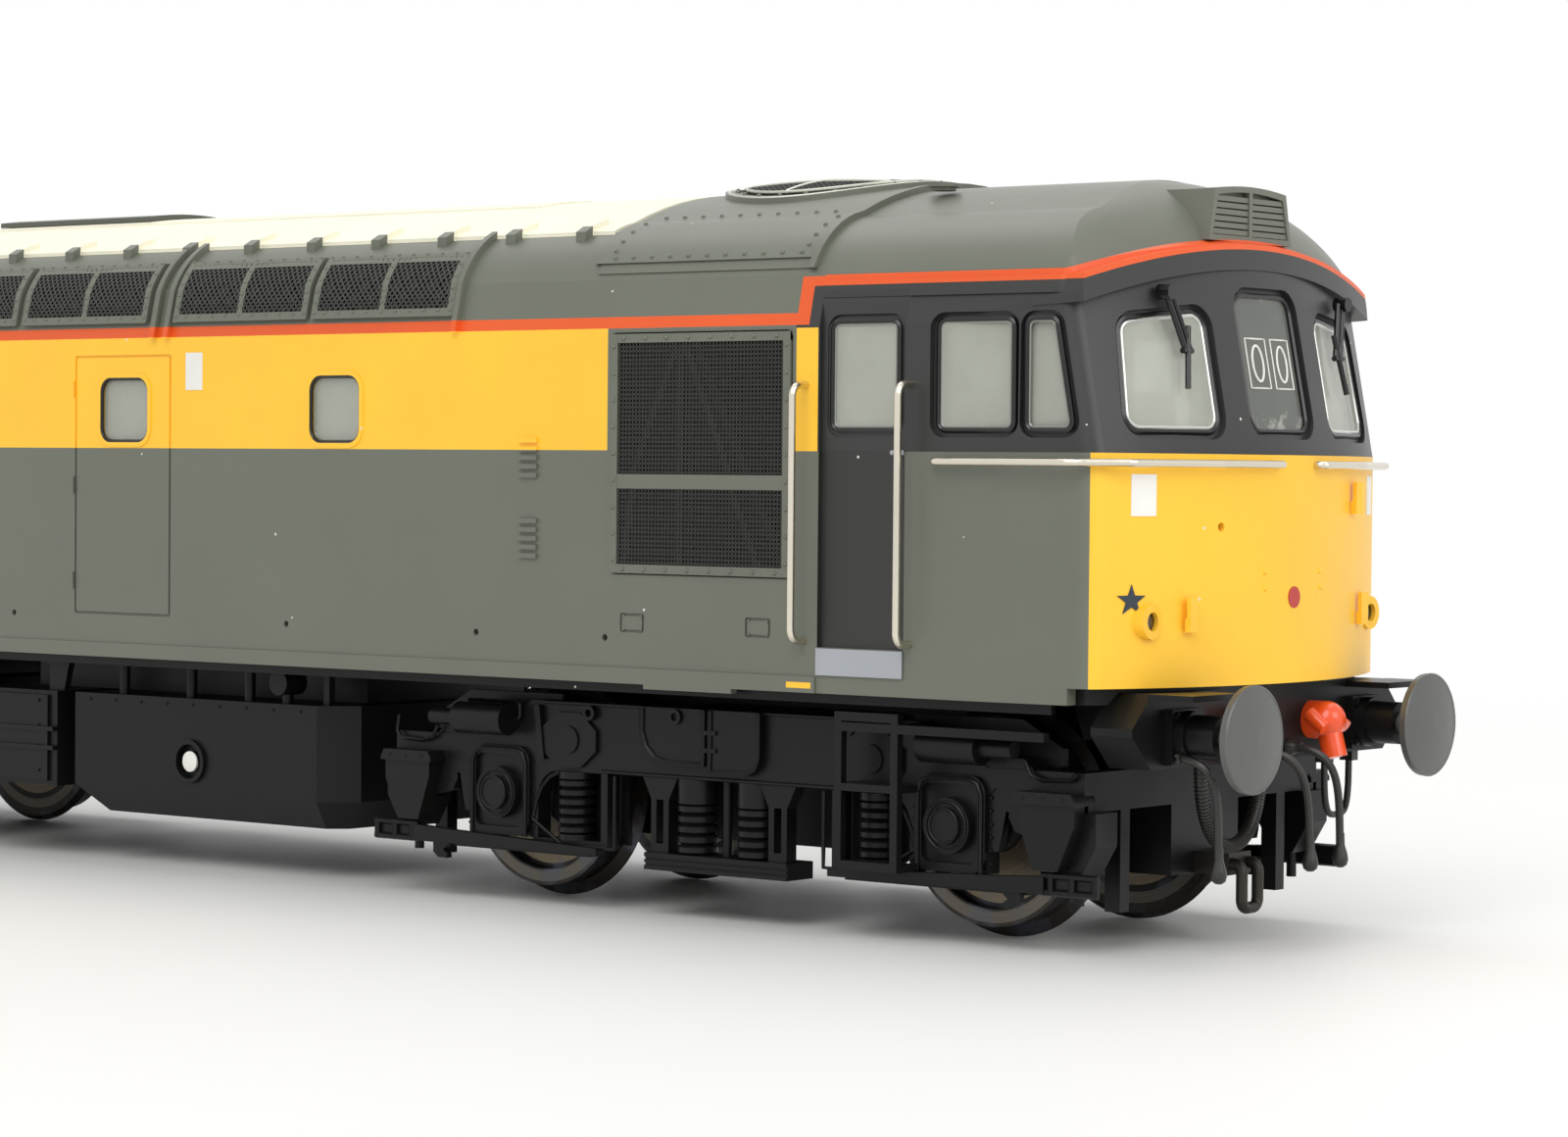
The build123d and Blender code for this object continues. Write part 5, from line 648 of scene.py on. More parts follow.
# Profiles of turned pieces: radius and height
RIVET = ((0, -0.1), (0.17, -0.1), (0.17, 0.04), (0.10, 0.13), (0, 0.16))
SMALL_RIVET = ((0, -0.1), (0.13, -0.1), (0.13, 0.03), (0.07, 0.10), (0, 0.12))
SCREW = ((0, -0.1), (0.11, -0.1), (0.11, 0.05), (0, 0.09))
BOLT = ((0, -0.1), (0.26, -0.1), (0.26, 0.16), (0.14, 0.22), (0, 0.24))
LAMP_BORE = ((0, -0.6), (0.6, -0.6), (0.6, 0), (0.3, 0.06), (0, 0.08))
GAUGE = ((0, -0.1), (0.8, -0.1), (0.8, 0.12), (0.55, 0.2), (0, 0.2))
HOSE_TAP = ((0, -1.9), (0.27, -1.9), (0.30, -1.1), (0.50, -0.45), (0.55, -0.1), (0.45, 0.25), (0.22, 0.42),
            (0, 0.45))
HOSE_COLLAR = ((0, -0.3), (0.55, -0.3), (0.55, 0.35), (0.38, 0.55), (0.38, 1.0), (0, 1.0))
JUMPER_RIB = ((0, -0.06), (0.42, -0.06), (0.50, -0.03), (0.50, 0.03), (0.42, 0.06), (0, 0.06))

# Windows: outlines along and up on the sides, across and up on the front
GLASS_Z = (34.3, 41.5)
DOOR_WINDOW = box_corners((70.57, 76.02), GLASS_Z)
CAB_WINDOWS = (box_corners((79.3, 85.22), GLASS_Z),
               [(86.32, 34.3), (89.91, 34.3), (88.55, 41.5), (86.32, 41.5)])
BODY_WINDOWS = [box_corners((SEAM_X * a, SEAM_X * b), (33.3, 38.3))
                for a, b in ((-0.698, -0.624), (-0.386, -0.312), (-0.0165, 0.0604), (0.3122, 0.3863))]
WINDSCREEN = [(-7.01, 34.3), (-14.95, 34.3), (-14.3, 41.5), (-6.95, 42.3)]
HEADCODE = [(-3.58, 34.4), (3.58, 34.4), (3.5, 43.5), (-3.5, 43.5)]
LEAST_CORNER, SMALL_CORNER, LARGE_CORNER = 0.2, 0.55, 1.1


def side_loop(corners, radius, inset, distance, thick):
    """Ring of wire round a side window's outline, drawn in by inset, at a distance from the middle."""
    flat = rounded_outline(drawn_in(corners, inset), max(radius - inset, LEAST_CORNER))
    return side_bead(flat, distance, thick, True)


def front_loop(corners, inset, depth, thick):
    """Ring of wire round a front window's outline, drawn in by inset, sunk below the leaning bowed face."""
    flat = rounded_outline(drawn_in(corners, inset), max(LARGE_CORNER - inset, LEAST_CORNER), 9)
    return tubes(on_screen(flat, depth), thick, up=(1, 0, 0), closed=True)


seals, side_edges = [], []
cab_panes = [(DOOR_WINDOW, HALF_WIDTH - DOOR_RECESS)]
cab_panes += [(pane, HALF_WIDTH - PAN_DEPTH) for pane in CAB_WINDOWS]
for corners, face in cab_panes:
    seals.append(copied(side_loop(corners, SMALL_CORNER, -0.05, face, 0.20), ALL_FOUR))
    side_edges.append(copied(side_loop(corners, SMALL_CORNER, 0.18, face + 0.02, 0.08), ALL_FOUR))
for corners in BODY_WINDOWS:
    seals.append(copied(side_loop(corners, LARGE_CORNER, 0.0, HALF_WIDTH - 0.1, 0.16), BOTH_SIDES))
    edge = side_loop(corners, LARGE_CORNER, 0.22, HALF_WIDTH - GLASS_DEPTH + 0.02, 0.08)
    side_edges.append(copied(edge, BOTH_SIDES))
seals.append(copied(front_loop(WINDSCREEN, -0.05, PAN_DEPTH, 0.22), ALL_FOUR))
seals.append(copied(front_loop(HEADCODE, 0.0, PAN_DEPTH, 0.2), BOTH_ENDS))
finished("window_seals", seals, "seal")
finished("windscreen_edges", [front_loop(WINDSCREEN, 0.24, GLASS_DEPTH, 0.12)], "glass_edge", ALL_FOUR)
finished("side_glass_edges", side_edges, "side_edge")

# Headcode: two outlined boxes with a generic nought in each
FIGURE_Z = (37.3, 40.6)
figures = []
for low, high in ((-2.6, -0.25), (0.45, 2.8)):
    nought = circle(24, (0.62, 1.2), ((low + high) / 2, sum(FIGURE_Z) / 2))
    for flat, thick in ((divided(box_corners((low, high), FIGURE_Z), 4, True), 0.06), (nought, 0.09)):
        figures.append(tubes(on_screen(flat, PANEL_DEPTH), thick, up=(1, 0, 0), closed=True))
finished("headcode_figures", figures, "digits", BOTH_ENDS)


def nose_plate(outline, depth):
    """Thin plate on the bowed nose, from its outline across and up, square to the nose at its middle."""
    outline = np.asarray(outline, float)
    middle = outline[:, 0].mean()
    away = np.array([sqrt(NOSE_BOW ** 2 - middle ** 2), middle, 0])
    points = np.column_stack([nose_x(outline[:, 0]), outline])
    return slabs(points - 0.05 * unit(away), away, depth + 0.05)


# Nose: a five-pointed star, whose points' reach alternates, a plain disc, blank plates, bolts and lamp bores
star_turn = np.pi / 2 + np.arange(10) * np.pi / 5
star_reach = np.where(np.arange(10) % 2, 0.42, 1.05)
star = np.column_stack([-15.1 + star_reach * np.cos(star_turn), 23.36 + star_reach * np.sin(star_turn)])
finished("nose_stars", [nose_plate(star, 0.06)], "star", BOTH_ENDS)
finished("nose_discs", [nose_plate(circle(24, 0.72, (-0.2, 23.4)), 0.06)], "red", BOTH_ENDS)
nose_blank = nose_plate(box_corners((-15.2, -13.4), (28.8, 31.5)), 0.08)
side_blank = side_plate(box_corners((8.4, 10.2), (37.3, 40.15)), HALF_WIDTH, 0.06)
finished("blank_plates", [copied(nose_blank, ALL_FOUR), copied(side_blank, BOTH_SIDES)], "white")
bolts = np.array([(nose_x(y), y, z) for y, z in ((-3.65, 25.1), (3.3, 25.1), (-3.6, 24.0), (3.45, 24.0))])
finished("nose_bolts", [studs(bolts, (1, 0, 0), RIVET)], "yellow", BOTH_ENDS)
lamp_place = (nose_x(13.9) + 0.1, -13.9, SILL_Z + 0.2186 * SIDE_HEIGHT)
finished("lamp_bores", [studs([lamp_place], (1, 0, 0), LAMP_BORE, 16)], "lens", ALL_FOUR)

# Riveted hatch panel over the fan: two rows along and a curved column at each end
HATCH_LIFT = 0.24
places, axes = [], []
for count, first, last, y in ((10, 50.6, 65.8, 11.65), (11, 50.3, 66.9, 16.75)):
    if y > CROWN_FOOT[0]:
        middle = shoulder_centre
        z = middle[1] + sqrt(shoulder_radius ** 2 - (y - middle[0]) ** 2)
    else:
        middle = crown_centre
        z = float(crown_at(y))
    axis = np.array([0, y - middle[0], z - middle[1]])
    lifted = np.array([0, y, z]) + HATCH_LIFT * unit(axis)
    places.append(lifted + np.linspace(first, last, count)[:, None] * (1, 0, 0))
    axes.append(np.broadcast_to(axis, (count, 3)))
for x in (50.0, 67.2):
    on_skin = skin_at_height((46.7, 47.4, 48.1, 48.7), HATCH_LIFT)
    places.append(np.insert(on_skin, 0, x, axis=1))
    axes.append(np.insert(on_skin - shoulder_centre, 0, 0, axis=1))
finished("hatch_rivets", [studs(np.concatenate(places), np.concatenate(axes), RIVET, 7)], "grey", BOTH_SIDES)

# Radiator grille: woven mesh, proud frame strips and the rivets along them
MESH_PITCH = 0.30
MESH_WIRE = 0.065


def spanning(places, ends, upright):
    """Straight runs on the side between two ends: one at each place, upright or level."""
    flat = np.stack([np.column_stack([places, np.full(len(places), end)]) for end in ends], 1)
    return flat if upright else flat[..., ::-1]


wires = []
inner_x = (RADIATOR_X[0] + RADIATOR_FRAME, RADIATOR_X[1] - RADIATOR_FRAME)
for inner_z in ((RADIATOR_Z[0] + RADIATOR_FRAME, RADIATOR_RAIL_Z - RADIATOR_RAIL_HALF),
                (RADIATOR_RAIL_Z + RADIATOR_RAIL_HALF, RADIATOR_Z[1] - RADIATOR_FRAME)):
    for runs, ends, upright in ((inner_x, inner_z, True), (inner_z, inner_x, False)):
        flat = spanning(np.arange(runs[0] + MESH_PITCH / 2, runs[1], MESH_PITCH), ends, upright)
        wires.append(tubes(np.insert(flat, 1, -HALF_WIDTH - 0.02, axis=2), MESH_WIRE, 4, up=(0, 1, 0)))
finished("radiator_mesh", wires, "mesh", BOTH_SIDES)

STRIP_ROOT = 0.15
frame_x = (RADIATOR_X[0] + 0.1, RADIATOR_X[1] - 0.1)
frame_z = (RADIATOR_Z[0] + 0.1, RADIATOR_Z[1] - 0.1)
strip_width = RADIATOR_FRAME - 0.1
strips = [(frame_x, (frame_z[0], frame_z[0] + strip_width), 0.16),
          (frame_x, (frame_z[1] - strip_width, frame_z[1]), 0.16),
          ((frame_x[0], frame_x[0] + strip_width), frame_z, 0.17),
          ((frame_x[1] - strip_width, frame_x[1]), frame_z, 0.17),
          (frame_x, (RADIATOR_RAIL_Z - RADIATOR_RAIL_HALF, RADIATOR_RAIL_Z + RADIATOR_RAIL_HALF), 0.15)]
finished("radiator_frame_strips", [side_plate(box_corners(x, z), HALF_WIDTH - STRIP_ROOT, rise + STRIP_ROOT)
                                   for x, z, rise in strips], "grey", BOTH_SIDES)
frame_rivets = [(x, z) for x in np.linspace(frame_x[0] + 1.2, frame_x[1] - 1.2, 8)
                for z in (frame_z[0] + 0.3, frame_z[1] - 0.3)]
frame_rivets += [(x, z) for z in np.linspace(frame_z[0] + 0.9, frame_z[1] - 0.9, 9)
                 for x in (frame_x[0] + 0.3, frame_x[1] - 0.3)]
hatch_screws = [(x + dx, 20.85 + dz) for x in (53.3, 64.5) for dx in (-0.8, 0.8) for dz in (-0.45, 0.45)]
finished("side_rivets", [studs(on_side(frame_rivets, HALF_WIDTH + 0.16), (0, -1, 0), RIVET, 7),
                         studs(on_side(hatch_screws, HALF_WIDTH), (0, -1, 0), SCREW, 6)], "grey", BOTH_SIDES)

# Radiator core inside the opening: upright tubes on a plate that laps the wall's inner face, both near black
# as painted shade for the depth
CORE_PITCH = 0.52
CORE_TUBE = 0.15
CORE_LAP = 0.6
core_face = HALF_WIDTH - SHELL_WALL + 0.02
core_plate = box_corners((RADIATOR_X[0] - CORE_LAP, RADIATOR_X[1] + CORE_LAP),
                         (RADIATOR_Z[0] - CORE_LAP, RADIATOR_Z[1] + 0.4))
core_lines = spanning(np.arange(RADIATOR_X[0] + 0.5, RADIATOR_X[1], CORE_PITCH), RADIATOR_Z, True)
finished("radiator_core", [side_plate(core_plate, core_face, -0.5),
                           tubes(np.insert(core_lines, 1, -core_face, axis=2), CORE_TUBE, up=(0, 1, 0))],
         "core", BOTH_SIDES)

# Slanting struts and posts seen through the radiator mesh: foot, head and the heights of both
STRUT_HALF = 0.28
STRUTS = ((53.2, 57.2, 31.3, 40.3), (61.8, 57.8, 31.3, 40.3), (57.5, 57.5, 24.95, 40.3),
          (52.4, 53.2, 24.95, 30.2), (64.4, 62.0, 24.95, 30.2))
struts = []
for foot, head, low, high in STRUTS:
    corners = [(foot - STRUT_HALF, low), (foot + STRUT_HALF, low), (head + STRUT_HALF, high),
               (head - STRUT_HALF, high)]
    struts.append(side_plate(corners, HALF_WIDTH - 0.06, -0.03))
finished("radiator_struts", struts, "strut", BOTH_SIDES)

# Cantrail grilles: woven diagonal mesh over each pane, and rivets along the frame bars
STRAND_PITCH = 0.52
STRAND = 0.09
RIVET_LIFT = 0.43
BAR_MIDDLE = GRILLE_FRAME / 2
pane_z = (CANTRAIL_GRILLE_Z[0] + GRILLE_FRAME - 0.1, CANTRAIL_GRILLE_Z[1] - GRILLE_FRAME + 0.1)
pane_height = pane_z[1] - pane_z[0]
strands, rivets = [], []
for x in CANTRAIL_GRILLES_X:
    for pane in (-1, 1):
        middle, half = pane_places(x, pane)
        half += 0.1
        start = np.arange(-half - pane_height + STRAND_PITCH / 2, half, STRAND_PITCH)
        low = np.clip(-half - start, 0, pane_height)
        high = np.clip(half - start, 0, pane_height)
        rise = low[:, None] + (high - low)[:, None] * np.linspace(0, 1, 6)[None, :]
        along = start[:, None] + rise
        skin = skin_at_height(pane_z[0] + rise, 0.36)
        for way in (-1, 1):
            paths = np.concatenate([(middle + way * along)[..., None], -skin[..., :1], skin[..., 1:]], -1)
            strands.append(tubes(paths, STRAND, 4, up=(1, 0, 0)))
    reach = CANTRAIL_GRILLE_LENGTH / 2
    for offset in (-reach + BAR_MIDDLE, 0, reach - BAR_MIDDLE):
        heights = np.linspace(CANTRAIL_GRILLE_Z[0] + BAR_MIDDLE, CANTRAIL_GRILLE_Z[1] - BAR_MIDDLE, 6)
        rivets.append(np.insert(skin_at_height(heights, RIVET_LIFT) * (-1, 1), 0, x + offset, axis=1))
    for height in (CANTRAIL_GRILLE_Z[0] + BAR_MIDDLE, CANTRAIL_GRILLE_Z[1] - BAR_MIDDLE):
        skin = skin_at_height(np.full(9, height), RIVET_LIFT) * (-1, 1)
        rivets.append(np.insert(skin, 0, np.linspace(x - reach + 1.4, x + reach - 1.4, 9), axis=1))
finished("cantrail_mesh", strands, "mesh", BOTH_SIDES)
rivets = np.concatenate(rivets)
curved = rivets[:, 2] > EAVES[1]
outward = np.column_stack([np.zeros(len(rivets)), rivets[:, 1] + np.where(curved, shoulder_centre[0], 0),
                           np.where(curved, rivets[:, 2] - shoulder_centre[1], 4.0)])
finished("cantrail_rivets", [studs(rivets, outward, SMALL_RIVET, 6)], "grey", BOTH_SIDES)


def over_fan(x, y, lift):
    """Points of the fan grille on the roof's crown, from their places along and across the fan."""
    return np.stack([FAN_X + x, y, crown_at(y, lift)], -1)


def fan_lift(x, y):
    """Rise of the fan's mesh above the crown: most at its middle, falling with the square of the radius."""
    return FAN_RISE - FAN_FALL * (np.hypot(x, y) / FAN_INNER) ** 2


# Fan grille: square mesh on the crown, two bright rings, two slanting bars and bolts round the rim
line = np.arange(-FAN_INNER + FAN_PITCH / 2, FAN_INNER, FAN_PITCH)
run = np.sqrt(FAN_INNER ** 2 - line ** 2)[:, None] * np.linspace(-1, 1, 13)[None]
line = np.broadcast_to(line[:, None], run.shape)
finished("fan_mesh", [tubes(over_fan(x, y, fan_lift(x, y)), STRAND, 4)
                      for x, y in ((run, line), (line, run))], "mesh")
rings = []
for radius, thick, lift in ((FAN_RADIUS + 0.55, 0.16, 0.5), (FAN_INNER, 0.13, 0.68)):
    rings.append(tubes(over_fan(*circle(72, radius).T, lift), thick, 8, closed=True))
for turns in ((200, 330), (160, 30), (270, 90)):
    a, b = (FAN_INNER * np.array([cos(radians(turn)), sin(radians(turn))]) for turn in turns)
    x, y = (a + (b - a) * np.linspace(0, 1, 14)[:, None]).T
    rings.append(tubes(over_fan(x, y, fan_lift(x, y) + 0.05), 0.14))
finished("fan_rings", rings, "roof_trim")
x, y = circle(24, FAN_RADIUS + 0.02).T
bolt_axes = np.column_stack([0 * y, y, 0 * y + crown_radius])
finished("fan_bolts", [studs(over_fan(x, y, 0.6), bolt_axes, RIVET, 7)], "grey")

# Buffers: bolts on the flanges and a rolled edge round each head
bolts = [(HEADSTOCK_X + 0.6, -BUFFER_Y + dy, BUFFER_Z + dz) for dy in (-1.35, 1.35) for dz in (-1.35, 1.35)]
finished("buffer_bolts", [studs(bolts, (1, 0, 0), BOLT, 6)], "underframe", ALL_FOUR)
rim = np.insert(circle(48, 3.42, (-BUFFER_Y, BUFFER_Z)), 0, BUFFER_FACE_X - 0.42, axis=1)
finished("buffer_rims", [tubes(rim, 0.13, up=(1, 0, 0), closed=True)], "buffer", ALL_FOUR)

# Bogie dressing: outlines along from the bogie's middle and up
D_CASTING = [(-6.5, 14.75), (-6.5, 13.1), (-6.1, 12.0), (-5.3, 11.25), (-4.3, 10.95), (-0.9, 10.95),
             (-0.9, 14.75)]
U_CASTING = [(-0.3, 14.75), (-0.3, 10.5), (2.9, 10.5), (3.7, 10.9), (4.0, 11.7), (4.0, 14.75)]
FRAME_EDGES = ([(-10.6, 9.95), (10.6, 9.95)], [(-16.0, 14.72), (16.0, 14.72)])
AXLE_GUIDE = [(-2.6, 4.9), (-2.6, 10.2), (-2.3, 10.9), (-1.6, 11.2), (1.6, 11.2), (2.3, 10.9), (2.6, 10.2),
              (2.6, 4.9)]
AXLEBOX_RINGS = ((1.62, 0.77, 0.12), (1.15, 1.02, 0.10))      # radius, depth before the face and thickness
SPRING_CAGE = [(9.4, 9.7), (9.4, 4.45), (14.3, 4.45), (17.2, 6.2), (16.8, 7.6), (16.3, 8.6), (15.6, 9.3),
               (14.6, 9.75)]
PIPES = ([(-23.2, 14.6), (-18.4, 14.6), (-18.2, 14.4), (-18.2, 13.6), (-18.4, 13.4), (-20.0, 13.4)],
         [(-30.2, 13.2), (-30.4, 12.0), (-30.0, 11.5), (-27.8, 11.4), (-26.8, 11.7), (-26.3, 12.6)],
         [(26.3, 12.6), (26.8, 11.7), (27.8, 11.4), (30.0, 11.5), (30.4, 12.0)])
STRUT = [(-16.8, 14.5), (-16.3, 14.5), (-15.8, 10.6), (-16.3, 10.6)]
GEAR_TOWER = [(-24, 6.6), (-17, 5.4), (17, 5.4), (24, 6.6), (24.2, 12.6), (23, 16.1), (-23, 16.1),
              (-24.2, 12.6)]
GEAR_HALF = 4.6

# Plates at each end of a bogie: outline, distance of the inner face from the middle, and thickness
SANDBOX = [(26.4, 10.3), (30.8, 10.3), (30.8, 8.6), (29.5, 5.6), (27.5, 5.6), (26.4, 8.8)]
SANDBOX_LID = [(26.0, 10.2), (26.3, 10.7), (30.7, 10.7), (31.0, 10.2), (31.0, 9.9), (26.0, 9.9)]
BRAKE_BAR = [(10.4, 4.0), (10.4, 4.5), (24.5, 5.0), (28.2, 5.2), (28.2, 4.0)]
BRAKE_HOOK = [(24.5, 4.2), (26.3, 4.2), (26.3, 3.3), (25.8, 2.9), (24.9, 2.9), (24.9, 3.2), (25.3, 3.5)]
WHEEL_COVER = [(15.8, 12.2), (15.8, 15.2), (24.8, 15.2), (28.0, 13.4), (28.0, 12.2)]
CAGE_BACK = [(9.6, 9.9), (9.6, 4.6), (14.2, 4.6), (17.0, 6.3), (16.6, 9.9)]
SLOT_BACK = [(27.9, 4.1), (27.9, 5.3), (32.3, 5.3), (32.3, 4.1)]
BRAKE_ARM = [(22.6, 12.1), (23.3, 12.7), (25.9, 12.7), (27.9, 10.9), (27.9, 7.5), (26.4, 7.5), (25.2, 7.9),
             (24.5, 9.2), (24.2, 7.6), (23.9, 6.5), (22.9, 6.2), (22.6, 8.0)]
END_PLATES = ((SANDBOX, 14.2, 1.6), (SANDBOX_LID, 13.6, 2.5), (BRAKE_BAR, 14.8, 0.7), (BRAKE_HOOK, 14.9, 0.5),
              (WHEEL_COVER, 12.4, 0.6), (CAGE_BACK, 12.4, 0.4), (SLOT_BACK, 14.95, 0.15),
              (BRAKE_ARM, BOGIE_FACE_Y - 0.9, 0.8))
SLOT_BARS = ([(27.9, 4.15), (32.3, 4.15)], [(27.9, 5.25), (32.3, 5.25)])
SLOT_POSTS = ([(28.6, 4.0), (28.6, 5.4)], [(30.3, 4.0), (30.3, 5.4)], [(32.1, 4.0), (32.1, 5.4)])
SLOT_Y = 15.2

beads = [side_bead(divided(outline, 3), BOGIE_FACE_Y + 0.5, 0.22) for outline in (D_CASTING, U_CASTING)]
beads += [tubes(on_side(edge, BOGIE_FACE_Y + 0.05), 0.14) for edge in FRAME_EDGES]
beads += [side_bead(pipe, BOGIE_FACE_Y + 0.35, 0.16) for pipe in PIPES]
beads.append(side_plate(STRUT, BOGIE_FACE_Y - 0.1, 0.55))
bolts = [on_side([(x, 3.9) for x in np.linspace(-5.6, 5.6, 8)], BOGIE_FACE_Y + 0.2)]
for way in (-1, 1):
    axle = way * HALF_WHEELBASE
    beads.append(side_bead(np.array(AXLE_GUIDE) + (axle, 0), BOGIE_FACE_Y + 0.40, 0.17))
    for radius, depth, thick in AXLEBOX_RINGS:
        beads.append(side_bead(circle(32, radius, (axle, AXLE_Z)), BOGIE_FACE_Y + depth, thick, True))
    beads.append(side_bead(divided(SPRING_CAGE, 4) * (way, 1), BOGIE_FACE_Y + 0.02, 0.15))
    beads += [side_plate(np.array(outline) * (way, 1), face, thick) for outline, face, thick in END_PLATES]
    beads += [tubes(on_side(np.array(bar) * (way, 1), SLOT_Y), 0.24) for bar in SLOT_BARS]
    beads += [side_bead(np.array(post) * (way, 1), SLOT_Y, 0.27) for post in SLOT_POSTS]
    guide_bolts = [(axle + offset, z) for z in np.linspace(5.6, 10.0, 6) for offset in (-3.15, 3.15)]
    hub_bolts = circle(6, 1.4, (axle, AXLE_Z))
    lid_bolts = [(way * x, 10.3) for x in (26.9, 28.5, 30.1)]
    bolts += [on_side(guide_bolts, BOGIE_FACE_Y), on_side(hub_bolts, BOGIE_FACE_Y + 0.72),
              on_side(lid_bolts, 16.08)]
beads.append(studs(np.concatenate(bolts), (0, -1, 0), SMALL_RIVET, 6))
for end, way in (("front", 1), ("rear", -1)):
    rest = {"body": f"bogie_{end}", "along": way * BOGIE_X}
    finished(f"gear_tower_{end}", [side_plate(GEAR_TOWER, -GEAR_HALF, 2 * GEAR_HALF)], "underframe", **rest)
    finished(f"bogie_beads_{end}", beads, "underframe", ((way, 1), (way, -1)), **rest)


def bezier(points, count=20):
    """Cubic curve: each of four points weighted by its binomial times (1 - t) and t to their powers."""
    t = np.linspace(0, 1, count)[:, None]
    return sum(weight * (1 - t) ** (3 - k) * t ** k * np.asarray(point, float)
               for k, (weight, point) in enumerate(zip((1, 3, 3, 1), points)))


def hanging(y_ends, x, top, sag, fullness, count=48):
    """U-shaped line: across is -cos t and down is sin t, both to a power that fills out its lower corners."""
    t = np.linspace(0, np.pi, count)
    middle, half = sum(y_ends) / 2, (y_ends[1] - y_ends[0]) / 2
    across = middle - half * np.sign(np.cos(t)) * np.abs(np.cos(t)) ** fullness
    return np.column_stack([np.full(count, x), across, top - sag * np.sin(t) ** fullness])


# Under each nose: three brake hoses with pear-shaped taps, the ribbed jumper and the stiff wire loop
LOOP_Y = (9.6, 12.9)
hoses = []
for y_top, y_foot in ((-12.6, -11.6), (-2.0, -0.2), (2.2, 3.7)):
    start, foot = (HEADSTOCK_X, y_top, 13.2), (97.2, y_foot, 5.6)
    curve = bezier((start, (98.4, y_top, 13.3), (97.0, y_foot, 10.5), foot))
    hoses.append(tubes(curve, 0.27, 8, up=(0, 1, 0.1)))
    hoses.append(studs([foot], (0, 0, -1), HOSE_TAP, 12))
    hoses.append(studs([start], (1, 0, 0), HOSE_COLLAR, 10))
jumper = hanging((-7.9, -0.4), 93.4, 12.5, 5.6, 0.9, 70)
hoses.append(tubes(jumper, 0.42, 10, up=(1, 0, 0)))
hoses.append(studs(jumper[1:-1], np.gradient(jumper, axis=0)[1:-1], JUMPER_RIB, 10))
hoses.append(tubes(hanging(LOOP_Y, 92.4, 12.2, 4.2, 0.55), 0.24, 8, up=(1, 0, 0)))
for y in LOOP_Y:
    foot = np.insert(np.array(box_corners((91.9, 92.9), (y - 0.4, y + 0.4))), 2, 11.7, axis=1)
    hoses.append(slabs(foot, (0, 0, 1), 0.9))
for end, way in (("front", 1), ("rear", -1)):
    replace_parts(finished(f"moulded_hoses_{end}", hoses, "hose", ((way, way),)), f"end_hoses_{end}")

# Dark sole bar behind the foot of each side
sole = box_corners((-88.0, 88.0), (15.9, SILL_Z + 0.3))
finished("sole_bars", [side_plate(sole, HALF_WIDTH - SHELL_WALL - 0.02, -0.5)], "underframe", BOTH_SIDES)

# Tank: bolts along its foot, the battery boxes' bolts, and the gauge's pale face
tank_bolts = on_side([(x, 12.9) for x in np.linspace(-6.5, 17.0, 9)], TANK_FACE_Y)
box_bolts = on_side([(x, z) for x in (-18.6, -12.0) for z in (7.0, 9.0, 10.6, 12.6)], 15.1)
finished("tank_bolts", [studs(np.concatenate([tank_bolts, box_bolts]), (0, -1, 0), SMALL_RIVET, 6)],
         "underframe", BOTH_SIDES)
finished("gauge_faces", [studs(on_side([(4.99, 8.5)], TANK_FACE_Y), (0, -1, 0), GAUGE, 24)],
         "white", BOTH_SIDES)


def camera():
    """The photograph's camera: placed, aimed and rolled as it was fitted."""
    data = bpy.data.cameras.new("camera")
    data.sensor_width = SENSOR_WIDTH
    data.lens = FOCAL_PIXELS * SENSOR_WIDTH / FRAME_PIXELS
    data.clip_start = 0.01
    data.clip_end = 20
    thing = bpy.data.objects.new("camera", data)
    bpy.context.scene.collection.objects.link(thing)
    azimuth, elevation, roll = (radians(a) for a in (CAMERA_AZIMUTH, CAMERA_ELEVATION, CAMERA_ROLL))
    back = Vector((sin(azimuth) * cos(elevation), -cos(azimuth) * cos(elevation), sin(elevation)))
    right = (-back).cross(Vector((0, 0, 1))).normalized()
    up = right.cross(-back)
    turned_right = right * cos(roll) + up * sin(roll)
    turned_up = -right * sin(roll) + up * cos(roll)
    axes = Matrix((turned_right, turned_up, back)).transposed().to_4x4()
    thing.matrix_world = Matrix.Translation(CAMERA_PLACE) @ axes
    bpy.context.scene.camera = thing


def lamp(name, place, target, size, power):
    """Soft square white lamp at a place, aimed at a target."""
    data = bpy.data.lights.new(name, "AREA")
    data.size = size
    data.energy = power
    thing = bpy.data.objects.new(name, data)
    bpy.context.scene.collection.objects.link(thing)
    way = Vector(target) - Vector(place)
    thing.matrix_world = Matrix.Translation(place) @ way.to_track_quat("-Z", "Y").to_matrix().to_4x4()


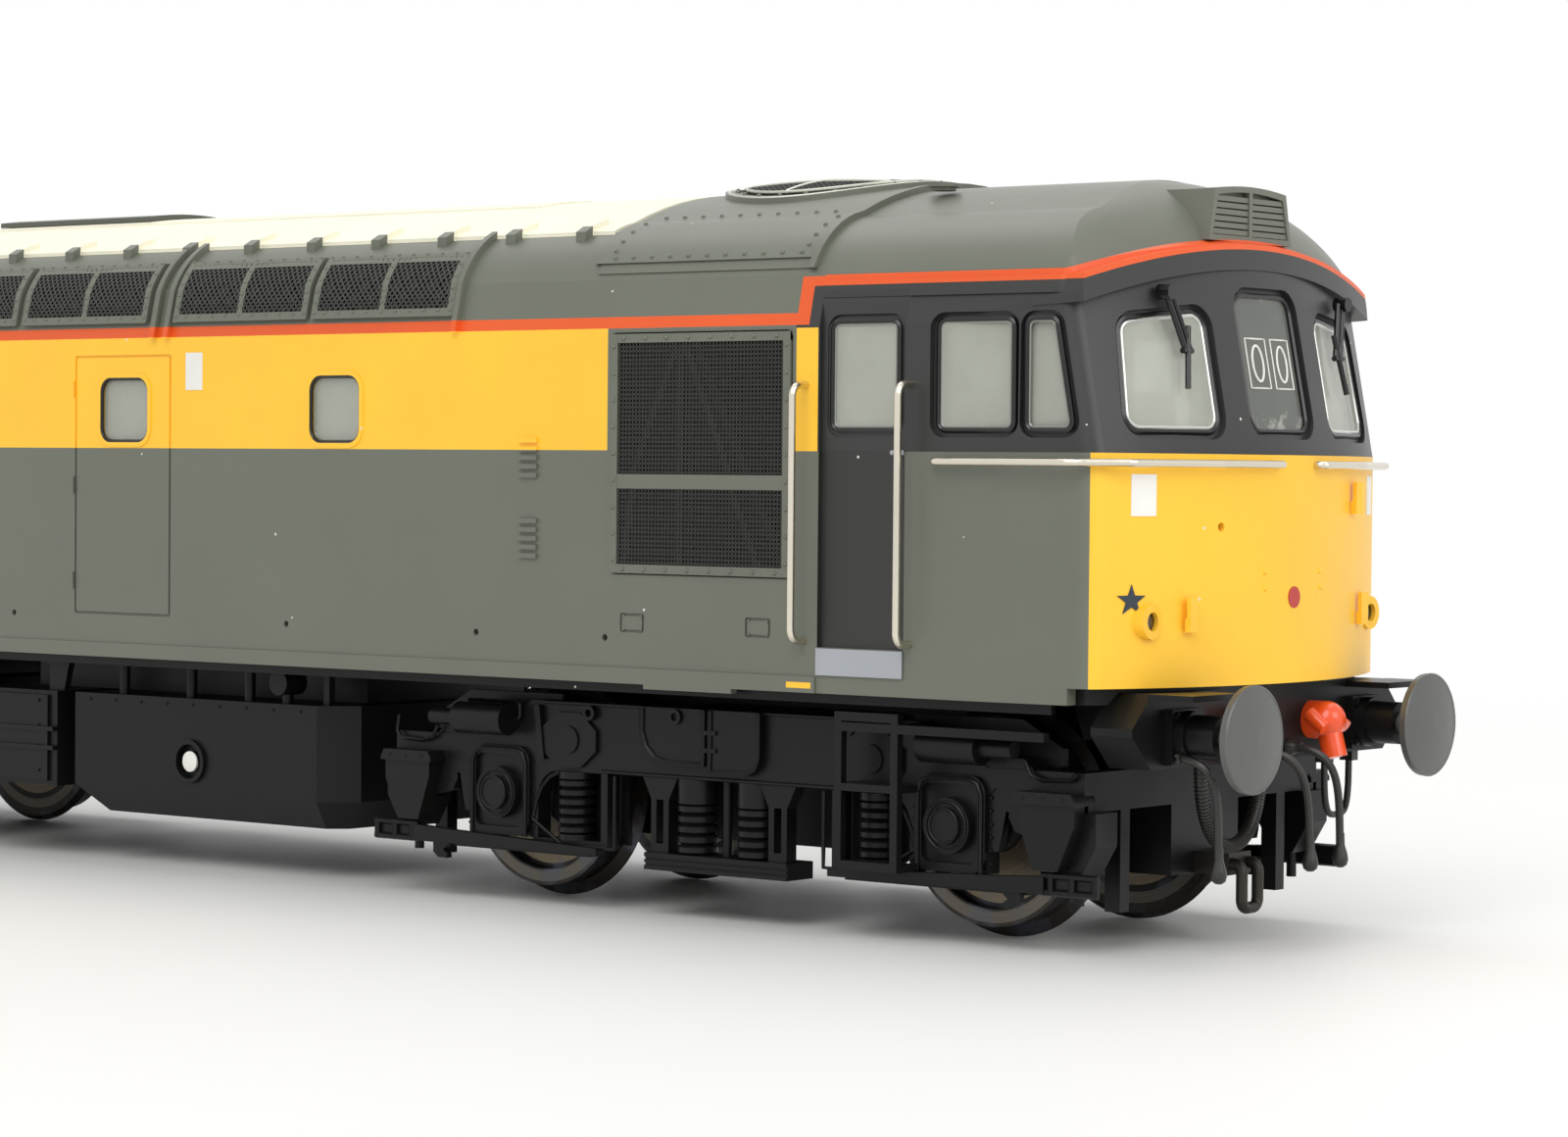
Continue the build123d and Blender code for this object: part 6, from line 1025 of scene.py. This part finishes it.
def seen_rays(tree):
    """One for camera, glossy and transmission rays, nought for the rays that light the object."""
    rays = add_node(tree, "LightPath").outputs
    direct = add_node(tree, "Math", {0: rays["Is Camera Ray"], 1: rays["Is Transmission Ray"]},
                      operation="MAXIMUM")
    return add_node(tree, "Math", {0: direct, 1: rays["Is Glossy Ray"]}, operation="MAXIMUM")


def studio():
    """Plain pale floor that fades into white with the distance from its middle, and soft lamps."""
    world = bpy.data.worlds.new("studio_world")
    bpy.context.scene.world = world
    world.use_nodes = True
    tree = world.node_tree
    tree.nodes.clear()
    level = add_node(tree, "MapRange", {0: seen_rays(tree), 1: 0.0, 2: 1.0, 3: SKY_LIGHT, 4: 1.0})
    sky = add_node(tree, "Background", {0: srgb("#ffffff"), 1: level})
    add_node(tree, "OutputWorld", {"Surface": sky})
    mesh = bpy.data.meshes.new("floor")
    corners = [(x, y, 0) for x, y in box_corners((-FLOOR_HALF, FLOOR_HALF), (-FLOOR_HALF, FLOOR_HALF))]
    mesh.from_pydata(corners, [], [(0, 1, 2, 3)])
    floor = bpy.data.objects.new("floor", mesh)
    bpy.context.scene.collection.objects.link(floor)
    # Pressed laminate: pale and even, with the object's soft shadow on it
    material, tree, shader, place = new_material("pale_table_laminate")
    shader.inputs["Base Color"].default_value = srgb("#eeeeec")
    shader.inputs["Roughness"].default_value = 0.5
    reach = add_node(tree, "VectorMath", {0: place}, operation="LENGTH").outputs[1]
    glow = add_node(tree, "MapRange", {0: reach, 1: FLOOR_FADE[0], 2: FLOOR_FADE[1], 3: 0.0, 4: 1.0})
    shown = add_node(tree, "Math", {0: glow, 1: seen_rays(tree)}, operation="MULTIPLY")
    white = add_node(tree, "Emission", {0: srgb("#ffffff")})
    blend = add_node(tree, "MixShader", {0: shown, 1: shader, 2: white})
    surface = next(node for node in tree.nodes if node.type == "OUTPUT_MATERIAL")
    tree.links.new(blend.outputs[0], surface.inputs["Surface"])
    mesh.materials.append(material)
    for settings in LAMPS:
        lamp(*settings)


camera()
studio()
bpy.context.scene.view_settings.view_transform = "Standard"
